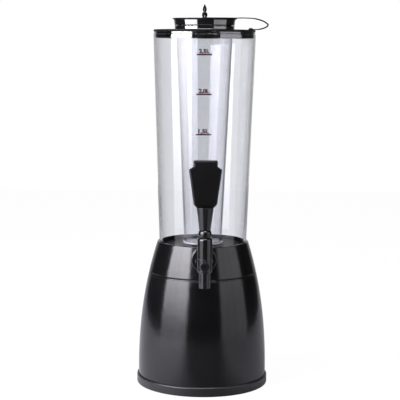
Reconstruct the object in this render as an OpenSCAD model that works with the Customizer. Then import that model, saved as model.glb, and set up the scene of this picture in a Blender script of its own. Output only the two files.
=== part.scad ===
// Table-top drink tower: a weighted-looking bell base, a collar with a lever tap, a clear
// tapered reservoir, and a lid from which a clear ice tube hangs. The tap points along -Y,
// the tether loop along +X, and the origin is the centre of the face it stands on.

/* [Base] */
// Outer radius of the bell at its foot
base_r = 89.8; // [84:0.1:98]
// Height of the seam between bell and collar
seam_z = 157.8; // [150:0.1:165]
// Height up to which the bell's side stays straight
curve_z = 20; // [14:1:40]
// How late the side curves in: higher keeps it upright for longer
curve_power = 2.2; // [1.8:0.05:2.6]
// Wall of the bell
bell_wall = 3; // [2:0.1:4]
// Height of the foot tray's rim
tray_h = 13.3; // [9:0.1:18]
// Wall of the foot tray's rim, outside the bell
tray_wall = 2; // [1.5:0.1:3]
// Thickness of the foot tray's floor
tray_floor = 4.5; // [4:0.1:6]
// Radius of each non-slip pad
pad_r = 9; // [6:0.5:12]
// Gap between each pad and the recess of the screw beside it
pad_gap = 3.7; // [2:0.1:10]
// Height of the spigot that locates the collar
spigot_h = 8; // [4:0.5:10]

/* [Collar] */
// Height of the collar, seam to rim
collar_h = 44.2; // [42:0.1:60]
// Wall of the collar
collar_wall = 2.8; // [2:0.1:3.2]
// Width of the collar's rim round the tube
rim_w = 2.2; // [1.6:0.1:4]
// Height and depth of the groove at the seam
seam_groove = 1; // [0.6:0.1:1.6]
// Thickness of the ledge that carries the floor pan
ledge_t = 3; // [2:0.1:4]

/* [Reservoir] */
// Length of the clear tube
tube_len = 296.8; // [240:0.1:340]
// Outer radius of the tube at its top
tube_top_r = 71.2; // [64:0.1:76]
// Outer radius of the tube at its foot
tube_foot_r = 60.7; // [60:0.1:63]
// Wall of the tube
tube_wall = 2.5; // [2:0.1:3]
// How far the reservoir's floor lies below the rim
floor_drop = 5; // [4:0.1:7]
// Depth of the tube's seat below the floor
seat_drop = 3.8; // [3.4:0.1:5]
// Thickness of the floor pan's flange
pan_flange_t = 3; // [2.5:0.1:4]
// Inside depth of the sump below the floor
sump_depth = 24; // [22:0.5:26]
// Inside width of the sump
sump_w = 34; // [28:0.5:38]
// Inside length of the sump, front to back
sump_l = 27; // [22:0.5:32]
// Wall of the sump
sump_wall = 2.5; // [2:0.1:3]

/* [Lid and ice tube] */
// Radius of the lid's flange
lid_r = 70.6; // [68.9:0.1:73]
// Thickness of the lid
lid_t = 3; // [2:0.1:4]
// Length of the lid's skirt inside the tube
skirt_h = 8.7; // [5:0.1:14]
// Thickness of the lid's skirt
skirt_wall = 2; // [1.5:0.1:3]
// Thickness of the lid's gasket
gasket_t = 2.9; // [1.5:0.1:4]
// Height of the neck round the ice tube
neck_h = 4.2; // [3:0.1:8]
// Outer radius of the ice tube under its flange
ice_top_r = 39.8; // [34:0.1:44]
// Outer radius of the ice tube at its foot
ice_foot_r = 26.2; // [20:0.1:30]
// Wall of the ice tube
ice_wall = 2; // [1.5:0.1:3]
// Gap between the ice tube's foot and the reservoir's floor
ice_floor_gap = 2.3; // [1.5:0.1:12]
// Thickness of the ice tube's flange
ice_flange_t = 1.5; // [1:0.1:3]

/* [Ice cap] */
// Height of the cap above the ice tube's flange
cap_h = 9.6; // [8:0.1:16]
// How much the cap's side leans out
cap_flare = 1.1; // [0:0.1:3]
// How far the cap's rim stands out
cap_rim_w = 1.9; // [1:0.1:4]
// Thickness of the cap's rim
cap_rim_t = 1.2; // [0.8:0.1:2]
// Wall of the cap
cap_wall = 2.4; // [1.8:0.1:3]
// Depth of the cap's plug inside the ice tube
plug_h = 8; // [5:0.1:12]
// Height of the barbed peg above the cap
peg_h = 19.5; // [14:0.1:26]
// Thickness of the tether strap
strap_t = 1.4; // [1:0.1:1.8]
// Width of the tether strap
strap_w = 3; // [2:0.1:4]
// How far the tether's loop reaches from the axis
strap_reach = 87.8; // [82:0.1:100]

/* [Tap] */
// Distance from the shank's flange to the tap's upright axis
tap_reach = 41.3; // [36:0.1:60]
// Radius of the tap's upright body
tap_r = 9.9; // [9.5:0.1:11.5]
// Radius of the tap's barrel
barrel_r = 8.6; // [8.3:0.1:9.4]
// Radius of the threaded shank
shank_r = 6; // [5.5:0.1:6.4]
// Bore of the shank, as a radius
shank_bore_r = 4; // [3:0.1:4.4]
// Radius of the shank's outer flange
flange_r = 17; // [14:0.1:18]
// Thickness of the shank's outer flange
flange_t = 3.5; // [2:0.1:5]
// Thickness of each washer
washer_t = 2; // [1.5:0.1:3]
// Across-corners radius of the coupling nut
coupling_r = 12.7; // [11:0.1:14]
// Length of the coupling nut
coupling_l = 8; // [6:0.1:10]
// Across-corners radius of the shank's nut
shank_nut_r = 9.8; // [8.5:0.1:10.2]
// Thickness of the shank's nut
shank_nut_t = 6; // [4:0.1:8]
// Height of the bonnet
bonnet_h = 28.1; // [26:0.1:36]
// Outer radius of the spout
spout_r = 7.6; // [7.2:0.1:8.4]
// Bore of the spout, as a radius
spout_bore_r = 5.2; // [4:0.1:5.6]
// Length of the spout below the body
spout_len = 19.5; // [14:0.1:30]
// Room for the closing spring
spring_len = 14; // [10:0.1:15]
// Radius of the front plug's head
plug_head_r = 5.2; // [4.4:0.1:5.8]

/* [Handle] */
// Radius of the lever's ball
ball_r = 8.8; // [8.6:0.05:9.1]
// Height of the handle's conical stem
stem_h = 30; // [22:0.1:45]
// Radius of the stem's lower end
stem_low_r = 7.45; // [6.8:0.05:9]
// Radius of the stem's upper end
stem_top_r = 11.45; // [8:0.05:12.5]
// Height of the paddle
paddle_h = 61.6; // [45:0.1:80]
// Width across the paddle's shoulders
paddle_w = 43.4; // [34:0.1:52]
// Width of the paddle's top
paddle_top_w = 31.8; // [24:0.1:34]
// Width of the paddle's foot
paddle_foot_w = 30.8; // [25:0.1:34]
// Thickness of the paddle's foot
paddle_foot_t = 17; // [13:0.1:20]
// Thickness of the paddle's top
paddle_top_t = 10; // [7:0.1:13]
// Valve lift pin's distance behind the ball's centre
lift_arm = 5; // [4.8:0.05:5.2]

/* [Hidden] */

$fn = 96;
eps = 0.01;
// Gap between parts that lift off each other
lift_gap = 0.3;
// Gap between parts that are fixed together but have to go in
slip_gap = 0.3;
// Radial gap of a shaft or screw in its hole
fit_gap = 0.05;

// ---- Levels and radii that follow from the driving sizes ----
rim_z = seam_z + collar_h;
floor_z = rim_z - floor_drop;
tube_z0 = floor_z - seat_drop;
tube_z1 = tube_z0 + tube_len;
ledge_z = tube_z0 - pan_flange_t;
tube_slope = (tube_top_r - tube_foot_r) / tube_len;
function tube_r(z) = tube_foot_r + tube_slope * (z - tube_z0);
function tube_in_r(z) = tube_r(z) - tube_wall;
rim_r = tube_r(rim_z) + slip_gap + rim_w;
// The bell and the collar share one side: upright at the foot, then a power curve to the rim
function shell_r(z) = z <= curve_z ? base_r
    : base_r - (base_r - rim_r) * pow((z - curve_z) / (rim_z - curve_z), curve_power);
// Heights at which the curved side is worked out, about 4.5 mm apart
function levels(from, to) = let (n = ceil((to - from) / 4.5)) [for (i = [0:n]) from + (to - from) * i / n];

// ---- Foot tray, pads and screws ----
tray_in_r = base_r + slip_gap;
tray_r = tray_in_r + tray_wall;
tray_bevel = 1.4;
tray_foot_bevel = 1;
pad_t = 1.5;
pad_count = 4;
screw_r = 1.9;
screw_head_r = 3.8;
screw_head_t = 2.2;
screw_recess = 2.6;
screw_len = 14;
screw_head_room = 0.3;
screw_hole_room = 0.2;
socket_key_r = 1.8;
socket_key_depth = 1.2;
boss_r = 5;
boss_h = 18;
// How far each boss runs into the bell's wall
boss_bite = 1;
boss_ring_r = base_r - bell_wall - boss_r + boss_bite;
pad_ring_r = boss_ring_r - screw_head_r - screw_head_room - pad_gap - pad_r;
// How far a cutting solid reaches past the face that it cuts
past = 1;

// Copies its child at equal steps round the axis, turned by half a step
module ring_of(count, radius) {
    for (i = [0:count - 1])
        rotate((i + 0.5) * 360 / count)
        translate([radius, 0, 0])
        children();
}

module foot_tray() {
    color("#242427")
    difference() {
        rotate_extrude()
        polygon([[0, 0], [tray_r - tray_foot_bevel, 0], [tray_r, tray_foot_bevel],
            [tray_r, tray_h - tray_bevel], [tray_r - tray_bevel, tray_h], [tray_in_r, tray_h],
            [tray_in_r, tray_floor], [0, tray_floor]]);
        ring_of(pad_count, pad_ring_r)
            translate([0, 0, -past])
            cylinder(r = pad_r + fit_gap, h = pad_t + past);
        ring_of(pad_count, boss_ring_r) {
            translate([0, 0, -past])
                cylinder(r = screw_head_r + screw_head_room, h = screw_recess + past, $fn = 48);
            translate([0, 0, -past])
                cylinder(r = screw_r + screw_hole_room, h = tray_floor + 2 * past, $fn = 48);
        }
    }
}

module foot_pads() {
    color("#3a3a3c")
    ring_of(pad_count, pad_ring_r)
    cylinder(r = pad_r, h = pad_t);
}

module tray_screws() {
    color("silver")
    ring_of(pad_count, boss_ring_r)
    difference() {
        union() {
            translate([0, 0, screw_recess - screw_head_t])
                cylinder(r = screw_head_r, h = screw_head_t, $fn = 48);
            translate([0, 0, screw_recess - eps])
                cylinder(r = screw_r, h = screw_len, $fn = 48);
        }
        translate([0, 0, screw_recess - screw_head_t - past])
            cylinder(r = socket_key_r, h = socket_key_depth + past, $fn = 6);
    }
}

// ---- Bell ----
deck_t = 3;
spigot_wall = 2.5;
spigot_z1 = seam_z + spigot_h;
spigot_r = shell_r(spigot_z1) - collar_wall - 0.35;
seam_bevel_w = 0.4;
seam_bevel_h = 0.5;
spigot_bevel = 1;

module base_bell() {
    outer = levels(tray_floor, seam_z);
    inner = levels(tray_floor, seam_z - deck_t);
    color("#151517")
    difference() {
        union() {
            rotate_extrude()
            difference() {
                polygon(concat(
                    [[0, tray_floor]],
                    [for (z = outer) [shell_r(z) - (z > seam_z - seam_bevel_h ? seam_bevel_w : 0), z]],
                    [[0, seam_z]]));
                polygon(concat(
                    [[0, tray_floor - past], [shell_r(tray_floor) - bell_wall, tray_floor - past]],
                    [for (z = inner) [shell_r(z) - bell_wall, z]],
                    [[0, seam_z - deck_t]]));
                translate([0, seam_z - deck_t - past])
                    square([spigot_r - spigot_wall, deck_t + 2 * past]);
            }
            translate([0, 0, seam_z - eps])
            rotate_extrude()
            polygon([[spigot_r - spigot_wall, 0], [spigot_r, 0], [spigot_r, spigot_h - spigot_bevel],
                [spigot_r - spigot_bevel, spigot_h], [spigot_r - spigot_wall, spigot_h]]);
            ring_of(pad_count, boss_ring_r)
                translate([0, 0, tray_floor])
                cylinder(r = boss_r, h = boss_h);
        }
        ring_of(pad_count, boss_ring_r)
            translate([0, 0, tray_floor - past])
            cylinder(r = screw_r + fit_gap, h = screw_len, $fn = 48);
    }
}

// ---- Shank's place, which the collar, the pan and the tap share ----
shank_drop = 0.7;
shank_z = tube_z0 - shank_r - shank_drop;
shank_hole_gap = 0.15;
shank_hole_r = shank_r + shank_hole_gap;
// How far the boss for the tap stands out of the collar at its lowest point
tap_pad_proud = 0.5;
tap_pad_y = -(shell_r(shank_z - flange_r) + tap_pad_proud);
pan_plug_gap = 0.3;
pan_plug_r = tube_in_r(tube_z0) - pan_plug_gap;
// How far the sump's front lies behind the pan's edge
sump_inset = 3.9;
sump_y0 = -(pan_plug_r - sump_inset);
sump_z = floor_z - sump_depth;
saddle_r = 11;
flange_back = tap_pad_y - washer_t;
flange_front = flange_back - flange_t;
tap_y = flange_front - tap_reach;

// A cylinder along Y from y0 (front) to y1 (back), at the shank's height
module along_y(y0, y1, r, sides = 96) {
    translate([0, y1, shank_z])
    rotate([90, 0, 0])
    cylinder(r = r, h = y1 - y0, $fn = sides);
}

// ---- Collar ----
// How far the ledge reaches in under the pan's edge
ledge_reach = 5.9;
ledge_in_r = pan_plug_r - ledge_reach;
collar_z0 = seam_z + lift_gap;
rim_bevel_w = 0.5;
rim_bevel_h = 0.6;
// Heights below the rim at which the collar's wall starts to thicken, and is as thick as its rim
rim_taper_h = 6;
rim_band_h = 3;
// How far a solid runs into the wall that it is moulded on
bite = 1;

module collar_skin() {
    outer = levels(collar_z0 + seam_groove, rim_z - rim_bevel_h);
    polygon(concat(
        [[0, collar_z0], [shell_r(collar_z0) - seam_groove, collar_z0],
            [shell_r(collar_z0) - seam_groove, collar_z0 + seam_groove]],
        [for (z = outer) [shell_r(z), z]],
        [[rim_r - rim_bevel_w, rim_z], [0, rim_z]]));
}

module collar_hollow() {
    inner = levels(collar_z0 - past, rim_z - rim_taper_h);
    mouth_r = tube_r(rim_z) + slip_gap;
    polygon(concat(
        [for (z = inner) [shell_r(z) - collar_wall, z]],
        [[mouth_r, rim_z - rim_band_h], [mouth_r, rim_z + past], [0, rim_z + past], [0, collar_z0 - past]]));
}

module collar() {
    color("#18181a")
    difference() {
        union() {
            difference() {
                union() {
                    rotate_extrude()
                        collar_skin();
                    intersection() {
                        along_y(tap_pad_y, 0, flange_r);
                        translate([-flange_r - past, tap_pad_y - past, shank_z - flange_r - past])
                            cube([2 * (flange_r + past), past - tap_pad_y,
                                rim_z - shank_z + flange_r + past]);
                    }
                }
                rotate_extrude()
                    collar_hollow();
            }
            rotate_extrude()
            polygon([[ledge_in_r, ledge_z - ledge_t], [shell_r(ledge_z - ledge_t) - bite, ledge_z - ledge_t],
                [shell_r(ledge_z) - bite, ledge_z], [ledge_in_r, ledge_z]]);
            intersection() {
                along_y(tap_pad_y + 2 * bite, sump_y0, saddle_r);
                translate([-saddle_r - past, tap_pad_y, shank_z - saddle_r - past])
                    cube([2 * (saddle_r + past), -tap_pad_y, ledge_z - shank_z + saddle_r + past]);
            }
        }
        along_y(tap_pad_y - past, sump_y0 + past, shank_hole_r);
        translate([-sump_w / 2 - sump_wall - slip_gap, sump_y0, ledge_z - ledge_t - past])
            cube([sump_w + 2 * (sump_wall + slip_gap), sump_l + 2 * sump_wall + slip_gap,
                ledge_t + 2 * past]);
        pan_screw_places()
            translate([0, 0, ledge_z - ledge_t - past])
            cylinder(r = pan_screw_r + shank_hole_gap, h = ledge_t + 2 * past, $fn = 48);
    }
}

// ---- Floor pan with its sump ----
pan_bevel = 0.6;
seal_r = 0.9;
seal_room = 0.1;
seal_fit = 0.03;
seal_drop = 1.7;
seal_z = floor_z - seal_drop;
seal_groove_depth = 1.5;
pan_screw_r = 1.5;
pan_screw_inset = 4;
pan_screw_ring_r = pan_plug_r - pan_screw_inset;
pan_screw_grip = 2;
pan_screw_len = pan_flange_t + pan_screw_grip;
pan_screw_hole_end = 0.2;
pan_screw_head_r = 3;
pan_screw_head_t = 2;
pan_screw_key_r = 1.4;
pan_screw_key_depth = 1;

module pan_screw_places() {
    for (a = [0, 60, 120, 180])
        rotate(a)
        translate([pan_screw_ring_r, 0, 0])
        children();
}

module floor_pan() {
    color("#1b1b1e")
    difference() {
        union() {
            rotate_extrude()
            polygon([[0, ledge_z], [tube_foot_r + slip_gap, ledge_z], [tube_foot_r + slip_gap, tube_z0],
                [pan_plug_r, tube_z0], [pan_plug_r, floor_z - pan_bevel],
                [pan_plug_r - pan_bevel, floor_z], [0, floor_z]]);
            translate([-sump_w / 2 - sump_wall, sump_y0, sump_z - sump_wall])
                cube([sump_w + 2 * sump_wall, sump_l + 2 * sump_wall, sump_depth]);
        }
        translate([-sump_w / 2, sump_y0 + sump_wall, sump_z])
            cube([sump_w, sump_l, sump_depth + past]);
        translate([0, 0, seal_z])
        rotate_extrude()
        translate([pan_plug_r - seal_groove_depth, -seal_r - seal_room])
            square([seal_groove_depth + past, 2 * (seal_r + seal_room)]);
        along_y(tap_pad_y - past, sump_y0 + sump_wall + past, shank_hole_r);
        pan_screw_places()
            translate([0, 0, ledge_z - past])
            cylinder(r = pan_screw_r + fit_gap, h = pan_screw_len + pan_screw_hole_end + past, $fn = 48);
    }
}

module pan_screws() {
    color("silver")
    pan_screw_places()
    difference() {
        union() {
            translate([0, 0, ledge_z - ledge_t - pan_screw_head_t])
                cylinder(r = pan_screw_head_r, h = pan_screw_head_t, $fn = 48);
            translate([0, 0, ledge_z - ledge_t - eps])
                cylinder(r = pan_screw_r, h = ledge_t + pan_screw_len, $fn = 48);
        }
        translate([0, 0, ledge_z - ledge_t - pan_screw_head_t - past])
            cylinder(r = pan_screw_key_r, h = pan_screw_key_depth + past, $fn = 6);
    }
}

module tube_seal() {
    color("#5c5c60")
    translate([0, 0, seal_z])
    rotate_extrude()
    translate([tube_in_r(seal_z) - seal_r - seal_fit, 0])
    circle(r = seal_r, $fn = 32);
}

// ---- Clear tube ----
tube_bevel_out = 0.7;
tube_bevel_in = 0.5;

module reservoir_tube() {
    color("lightsteelblue", 0.4)
    rotate_extrude()
    polygon([[tube_in_r(tube_z0), tube_z0], [tube_foot_r, tube_z0],
        [tube_r(tube_z1 - tube_bevel_out), tube_z1 - tube_bevel_out], [tube_top_r - tube_bevel_out, tube_z1],
        [tube_in_r(tube_z1) + tube_bevel_in, tube_z1], [tube_in_r(tube_z1), tube_z1 - tube_bevel_in]]);
}

// ---- Shank and its fixings ----
stub_r = 8;
stub_l = 4;
shank_tail = 1.5;
flange_bevel = 0.8;
washer_inset = 2;
sump_in_y = sump_y0 + sump_wall;
nut_y0 = sump_in_y + washer_t;
shank_tail_y = nut_y0 + shank_nut_t + shank_tail;
barrel_y = flange_front - stub_l;

module shank() {
    color("#1a1a1c")
    difference() {
        union() {
            along_y(flange_back - bite, shank_tail_y, shank_r);
            along_y(flange_front + flange_bevel, flange_back, flange_r);
            translate([0, flange_front + flange_bevel, shank_z])
                rotate([90, 0, 0])
                cylinder(r1 = flange_r, r2 = flange_r - flange_bevel, h = flange_bevel);
            along_y(barrel_y, flange_front + bite, stub_r);
        }
        along_y(barrel_y - past, shank_tail_y + past, shank_bore_r);
    }
}

module outer_washer() {
    color("#3a3a3c")
    difference() {
        along_y(flange_back, tap_pad_y, flange_r - washer_inset);
        along_y(flange_back - past, tap_pad_y + past, shank_r + fit_gap);
    }
}

module inner_washer() {
    color("#3a3a3c")
    difference() {
        along_y(sump_in_y, nut_y0, shank_nut_r);
        along_y(sump_in_y - past, nut_y0 + past, shank_r + fit_gap);
    }
}

module shank_nut() {
    color("#1a1a1c")
    difference() {
        along_y(nut_y0, nut_y0 + shank_nut_t, shank_nut_r, 6);
        along_y(nut_y0 - past, nut_y0 + shank_nut_t + past, shank_r + fit_gap);
    }
}

// Radii by which the cone that turns the nut's corners off is wider behind, and narrower in front
nut_cone_back = 0.6;
nut_cone_front = 1;

module coupling_nut() {
    color("#1a1a1c")
    difference() {
        intersection() {
            along_y(flange_front - coupling_l, flange_front, coupling_r, 6);
            translate([0, flange_front, shank_z])
                rotate([90, 0, 0])
                cylinder(r1 = coupling_r + nut_cone_back, r2 = coupling_r - nut_cone_front, h = coupling_l);
        }
        along_y(flange_front - coupling_l - past, flange_front + past, barrel_r + fit_gap);
    }
}

// ---- Tap body ----
// Depth of the body below the shank's axis, and its height above it
body_drop = 10.5;
body_rise = 8.9;
body_low_z = shank_z - body_drop;
joint_z = shank_z + body_rise;
chamber_r = 7;
seat_rise = 4.2;
seat_z = body_low_z + seat_rise;
socket_r = 8;
socket_depth = 4.4;
spigot_len = 2.2;
spout_spigot_wall = 1.3;
outlet_lip = 0.4;
chin_h = 2.5;
chin_step = 0.5;
plug_rim = 1;
plug_proud = 1.3;
plug_head_t = 1.4;
plug_stem_r = 3.2;
plug_key_r = 2.2;
plug_key_depth = 1.6;
plug_end_gap = 0.6;
plug_face_y = tap_y - tap_r - plug_proud;

// A cylinder up the tap's own upright axis, from z0 to z1
module up_tap(z0, z1, r) {
    translate([0, tap_y, z0])
    cylinder(r = r, h = z1 - z0);
}

module tap_body() {
    color("#18181a")
    difference() {
        union() {
            translate([0, tap_y, body_low_z])
                cylinder(r1 = spout_r + chin_step, r2 = tap_r, h = chin_h);
            up_tap(body_low_z + chin_h - eps, joint_z, tap_r);
            along_y(tap_y, barrel_y, barrel_r);
            along_y(plug_face_y, tap_y, plug_head_r + plug_rim);
        }
        up_tap(seat_z, joint_z + past, chamber_r);
        up_tap(joint_z - socket_depth, joint_z + past, socket_r);
        up_tap(body_low_z - past, seat_z + past, spout_bore_r - outlet_lip);
        up_tap(body_low_z - past, body_low_z + spigot_len, spout_bore_r + spout_spigot_wall + fit_gap);
        along_y(tap_y, barrel_y + past, shank_bore_r);
        along_y(plug_face_y - past, tap_y, plug_stem_r + fit_gap);
    }
}

module front_plug() {
    color("#0e0e10")
    difference() {
        union() {
            along_y(plug_face_y - plug_head_t, plug_face_y, plug_head_r);
            along_y(plug_face_y - eps, tap_y - chamber_r - plug_end_gap, plug_stem_r);
        }
        along_y(plug_face_y - plug_head_t - past, plug_face_y + plug_key_depth, plug_key_r, 6);
    }
}

module spout() {
    z0 = body_low_z - spout_len;
    color("#18181a")
    difference() {
        union() {
            up_tap(z0, body_low_z, spout_r);
            up_tap(body_low_z - eps, body_low_z + spigot_len, spout_bore_r + spout_spigot_wall);
        }
        up_tap(z0 - past, body_low_z + spigot_len + past, spout_bore_r);
    }
}

// ---- Bonnet, with the ball's seat on top ----
bonnet_z1 = joint_z + bonnet_h;
// Height of the ball's centre above the bonnet
ball_rise = 4.7;
ball_z = bonnet_z1 + ball_rise;
ball_seat_r = ball_r + lift_gap;
valve_stem_r = 3;
web_t = 4.5;
web_z = ball_z - ball_seat_r - web_t;
spring_room_r = 6.6;
joint_bevel = 0.5;
dome_w = 2.2;
dome_h = 3.6;
// Flat left between the dome's arc and the ball's seat
dome_flat = 0.1;

module bonnet() {
    color("#18181a")
    difference() {
        union() {
            translate([0, tap_y, 0])
            rotate_extrude()
            polygon(concat(
                [[0, joint_z], [tap_r - joint_bevel, joint_z], [tap_r, joint_z + joint_bevel]],
                [for (a = [0:15:75]) [tap_r - dome_w * (1 - cos(a)), bonnet_z1 - dome_h * (1 - sin(a))]],
                [[tap_r - dome_w + dome_flat, bonnet_z1], [0, bonnet_z1]]));
            up_tap(joint_z - socket_depth + slip_gap, joint_z + bite, socket_r - fit_gap);
        }
        translate([0, tap_y, ball_z])
            sphere(r = ball_seat_r);
        up_tap(joint_z - socket_depth - past, web_z, spring_room_r);
        up_tap(web_z - past, ball_z, valve_stem_r + lift_gap);
    }
}

// ---- Valve: stem, cup and spring ----
cup_z0 = seat_z + lift_gap;
cup_h = 5;
cup_floor = 1.5;
cup_r = 6;
spring_flange_t = 1.5;
spring_flange_r = 5.6;
spring_flange_z = web_z - spring_len - spring_flange_t;
head_t = 4;
head_r = 2.6;
lift_pin_r = 1.2;
lift_pin_room = 0.2;
tilt_max = 40;
pin_travel = lift_arm * (1 - cos(tilt_max));
pin_lift = lift_arm * sin(tilt_max);
rod_gap = 0.8;
rod_z1 = ball_z - ball_r - pin_lift - rod_gap;
// Half width of the flat head above the rod, and the depths below the ball's centre at which it bends
neck_half = 2;
neck_back_z = ball_z - 5.2;
neck_front_z = ball_z - 4.2;
eye_back_z = ball_z - 1.6;
eye_front_z = ball_z - 0.8;
eye_back = 1.4;
eye_front = 1.2;

// A slot-ended bar across X round the lift pin's path, which the eye and its hole share
module stem_eye(r, width) {
    for (y = [lift_arm - pin_travel, lift_arm])
        translate([0, tap_y + y, ball_z])
        rotate([0, 90, 0])
        cylinder(r = r, h = width, center = true, $fn = 48);
    translate([-width / 2, tap_y + lift_arm - pin_travel, ball_z - r])
        cube([width, pin_travel, 2 * r]);
}

module valve_stem() {
    color("silver")
    difference() {
        union() {
            up_tap(cup_z0 + cup_floor, rod_z1, valve_stem_r);
            up_tap(spring_flange_z, spring_flange_z + spring_flange_t, spring_flange_r);
            translate([0, tap_y, 0])
            rotate([90, 0, 90])
            translate([0, 0, -head_t / 2])
            linear_extrude(head_t)
            polygon([[-neck_half, rod_z1 - bite], [neck_half, rod_z1 - bite], [neck_half, neck_back_z],
                [lift_arm + eye_back, eye_back_z], [lift_arm - pin_travel - eye_front, eye_front_z],
                [-neck_half, neck_front_z]]);
            stem_eye(head_r, head_t);
        }
        stem_eye(lift_pin_r + lift_pin_room, head_t + 2 * past);
    }
}

module seat_cup() {
    color("#8a8a8e")
    difference() {
        up_tap(cup_z0, cup_z0 + cup_h, cup_r);
        up_tap(cup_z0 + cup_floor, cup_z0 + cup_h + past, valve_stem_r + fit_gap);
    }
}

spring_wire_r = 0.55;
spring_mean_r = 4.9;
spring_turns = 6;
spring_steps = 20;
spring_sides = 8;
spring_z0 = spring_flange_z + spring_flange_t + lift_gap + spring_wire_r;
spring_rise = web_z - lift_gap - spring_wire_r - spring_z0;

// One ring of the spring's wire at step i, a circle square to the helix's radius
function wire_ring(i) =
    let (a = i * 360 / spring_steps, z = spring_z0 + spring_rise * i / (spring_turns * spring_steps))
    [for (k = [0:spring_sides - 1])
        let (b = k * 360 / spring_sides, r = spring_mean_r + spring_wire_r * cos(b))
        [r * cos(a), tap_y + r * sin(a), z + spring_wire_r * sin(b)]];

module valve_spring() {
    n = spring_turns * spring_steps;
    points = [for (i = [0:n]) each wire_ring(i)];
    sides = [for (i = [0:n - 1]) for (k = [0:spring_sides - 1])
        let (a = i * spring_sides + k, b = i * spring_sides + (k + 1) % spring_sides)
        each [[a, a + spring_sides, b], [b, a + spring_sides, b + spring_sides]]];
    first = [[for (k = [0:spring_sides - 1]) k]];
    last = [[for (k = [spring_sides - 1:-1:0]) n * spring_sides + k]];
    color("silver")
    polyhedron(points = points, faces = concat(first, sides, last), convexity = 10);
}

// ---- Lever ball, lift pin and handle ----
ball_flat_h = 5.8;
ball_flat_z = ball_z + ball_flat_h;
slot_room = 0.2;
slot_w = head_t + 2 * slot_room;
// Height above the ball's centre that the slot for the stem's head reaches
slot_top = 3.6;
lift_pin_l = 13;
stud_r = 3;
stud_in_paddle = 14;
stud_end_gap = 0.5;
paddle_z0 = ball_flat_z + stem_h;
stud_z1 = paddle_z0 + stud_in_paddle;

module lever_ball() {
    color("#101012")
    difference() {
        union() {
            intersection() {
                translate([0, tap_y, ball_z])
                    sphere(r = ball_r);
                translate([-ball_r - past, tap_y - ball_r - past, ball_z - ball_r - past])
                    cube([2 * (ball_r + past), 2 * (ball_r + past), ball_r + past + ball_flat_h]);
            }
            up_tap(ball_flat_z - bite, stud_z1, stud_r);
        }
        translate([-slot_w / 2, tap_y - ball_r - past, ball_z - ball_r - past])
            cube([slot_w, 2 * (ball_r + past), ball_r + past + slot_top]);
        translate([0, tap_y + lift_arm, ball_z])
            rotate([0, 90, 0])
            cylinder(r = lift_pin_r + fit_gap, h = 2 * ball_r, center = true, $fn = 48);
    }
}

module lift_pin() {
    color("silver")
    translate([0, tap_y + lift_arm, ball_z])
    rotate([0, 90, 0])
    cylinder(r = lift_pin_r, h = lift_pin_l, center = true, $fn = 48);
}

module handle_stem() {
    color("#1a1a1c")
    difference() {
        translate([0, tap_y, ball_flat_z])
            cylinder(r1 = stem_low_r, r2 = stem_top_r, h = stem_h);
        up_tap(ball_flat_z - past, paddle_z0 + past, stud_r + fit_gap);
    }
}

paddle_z1 = paddle_z0 + paddle_h;
paddle_chamfer = 4.5;
paddle_neck_h = 8.3;
paddle_shoulder_h = 4;
paddle_edge = 1.6;
// How far the foot's chamfer runs in at its sides, and at its front and back
foot_cut_side = 3.6;
foot_cut_front = 2.5;

// Front view of the paddle: a narrow head, pointed shoulders, and a taper to a chamfered foot
module paddle_front() {
    w = paddle_w / 2;
    top = paddle_top_w / 2;
    foot = paddle_foot_w / 2;
    neck_z = paddle_z1 - paddle_neck_h;
    shoulder_z = neck_z - paddle_shoulder_h;
    polygon([[-foot + foot_cut_side, paddle_z0], [foot - foot_cut_side, paddle_z0],
        [foot, paddle_z0 + paddle_chamfer], [w, shoulder_z], [top, neck_z], [top, paddle_z1],
        [-top, paddle_z1], [-top, neck_z], [-w, shoulder_z], [-foot, paddle_z0 + paddle_chamfer]]);
}

module handle_paddle() {
    foot = paddle_foot_t / 2;
    top = paddle_top_t / 2;
    color("#111113")
    difference() {
        intersection() {
            translate([0, tap_y + paddle_foot_t, 0])
                rotate([90, 0, 0])
                linear_extrude(2 * paddle_foot_t)
                paddle_front();
            rotate([90, 0, 90])
                translate([tap_y, 0, -paddle_w])
                linear_extrude(2 * paddle_w)
                polygon([[-foot + foot_cut_front, paddle_z0], [foot - foot_cut_front, paddle_z0],
                    [foot, paddle_z0 + paddle_chamfer],
                    [top, paddle_z1 - paddle_edge], [top - paddle_edge, paddle_z1],
                    [-top + paddle_edge, paddle_z1], [-top, paddle_z1 - paddle_edge],
                    [-foot, paddle_z0 + paddle_chamfer]]);
        }
        up_tap(paddle_z0 - past, stud_z1 + stud_end_gap, stud_r + fit_gap);
    }
}

// ---- Lid, gasket and ice tube ----
gasket_z0 = tube_z1 + lift_gap;
lid_z0 = gasket_z0 + gasket_t;
lid_z1 = lid_z0 + lid_t;
neck_z1 = lid_z1 + neck_h;
neck_in_r = ice_top_r + slip_gap;
neck_wall = 1.3;
neck_r = neck_in_r + neck_wall;
lid_bevel = 0.8;
skirt_r = tube_in_r(lid_z0 - skirt_h) - lift_gap;
ice_z0 = floor_z + ice_floor_gap;
ice_slope = (ice_top_r - ice_foot_r) / (neck_z1 - ice_z0);
function ice_r(z) = ice_foot_r + ice_slope * (z - ice_z0);
ice_flange_z1 = neck_z1 + ice_flange_t;
ice_flange_lip = 0.4;
ice_flange_r = neck_r + ice_flange_lip;
ice_floor_t = 2;
ice_foot_flange_w = 1.8;
ice_foot_bevel = 0.6;
ice_foot_step = 1;
strap_pin_inset = 6.6;
strap_pin_x = lid_r - strap_pin_inset;
strap_pin_r = 1.5;
strap_pin_room = 2.4;
gasket_skirt_gap = 0.1;
gasket_edge = 0.8;

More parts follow.
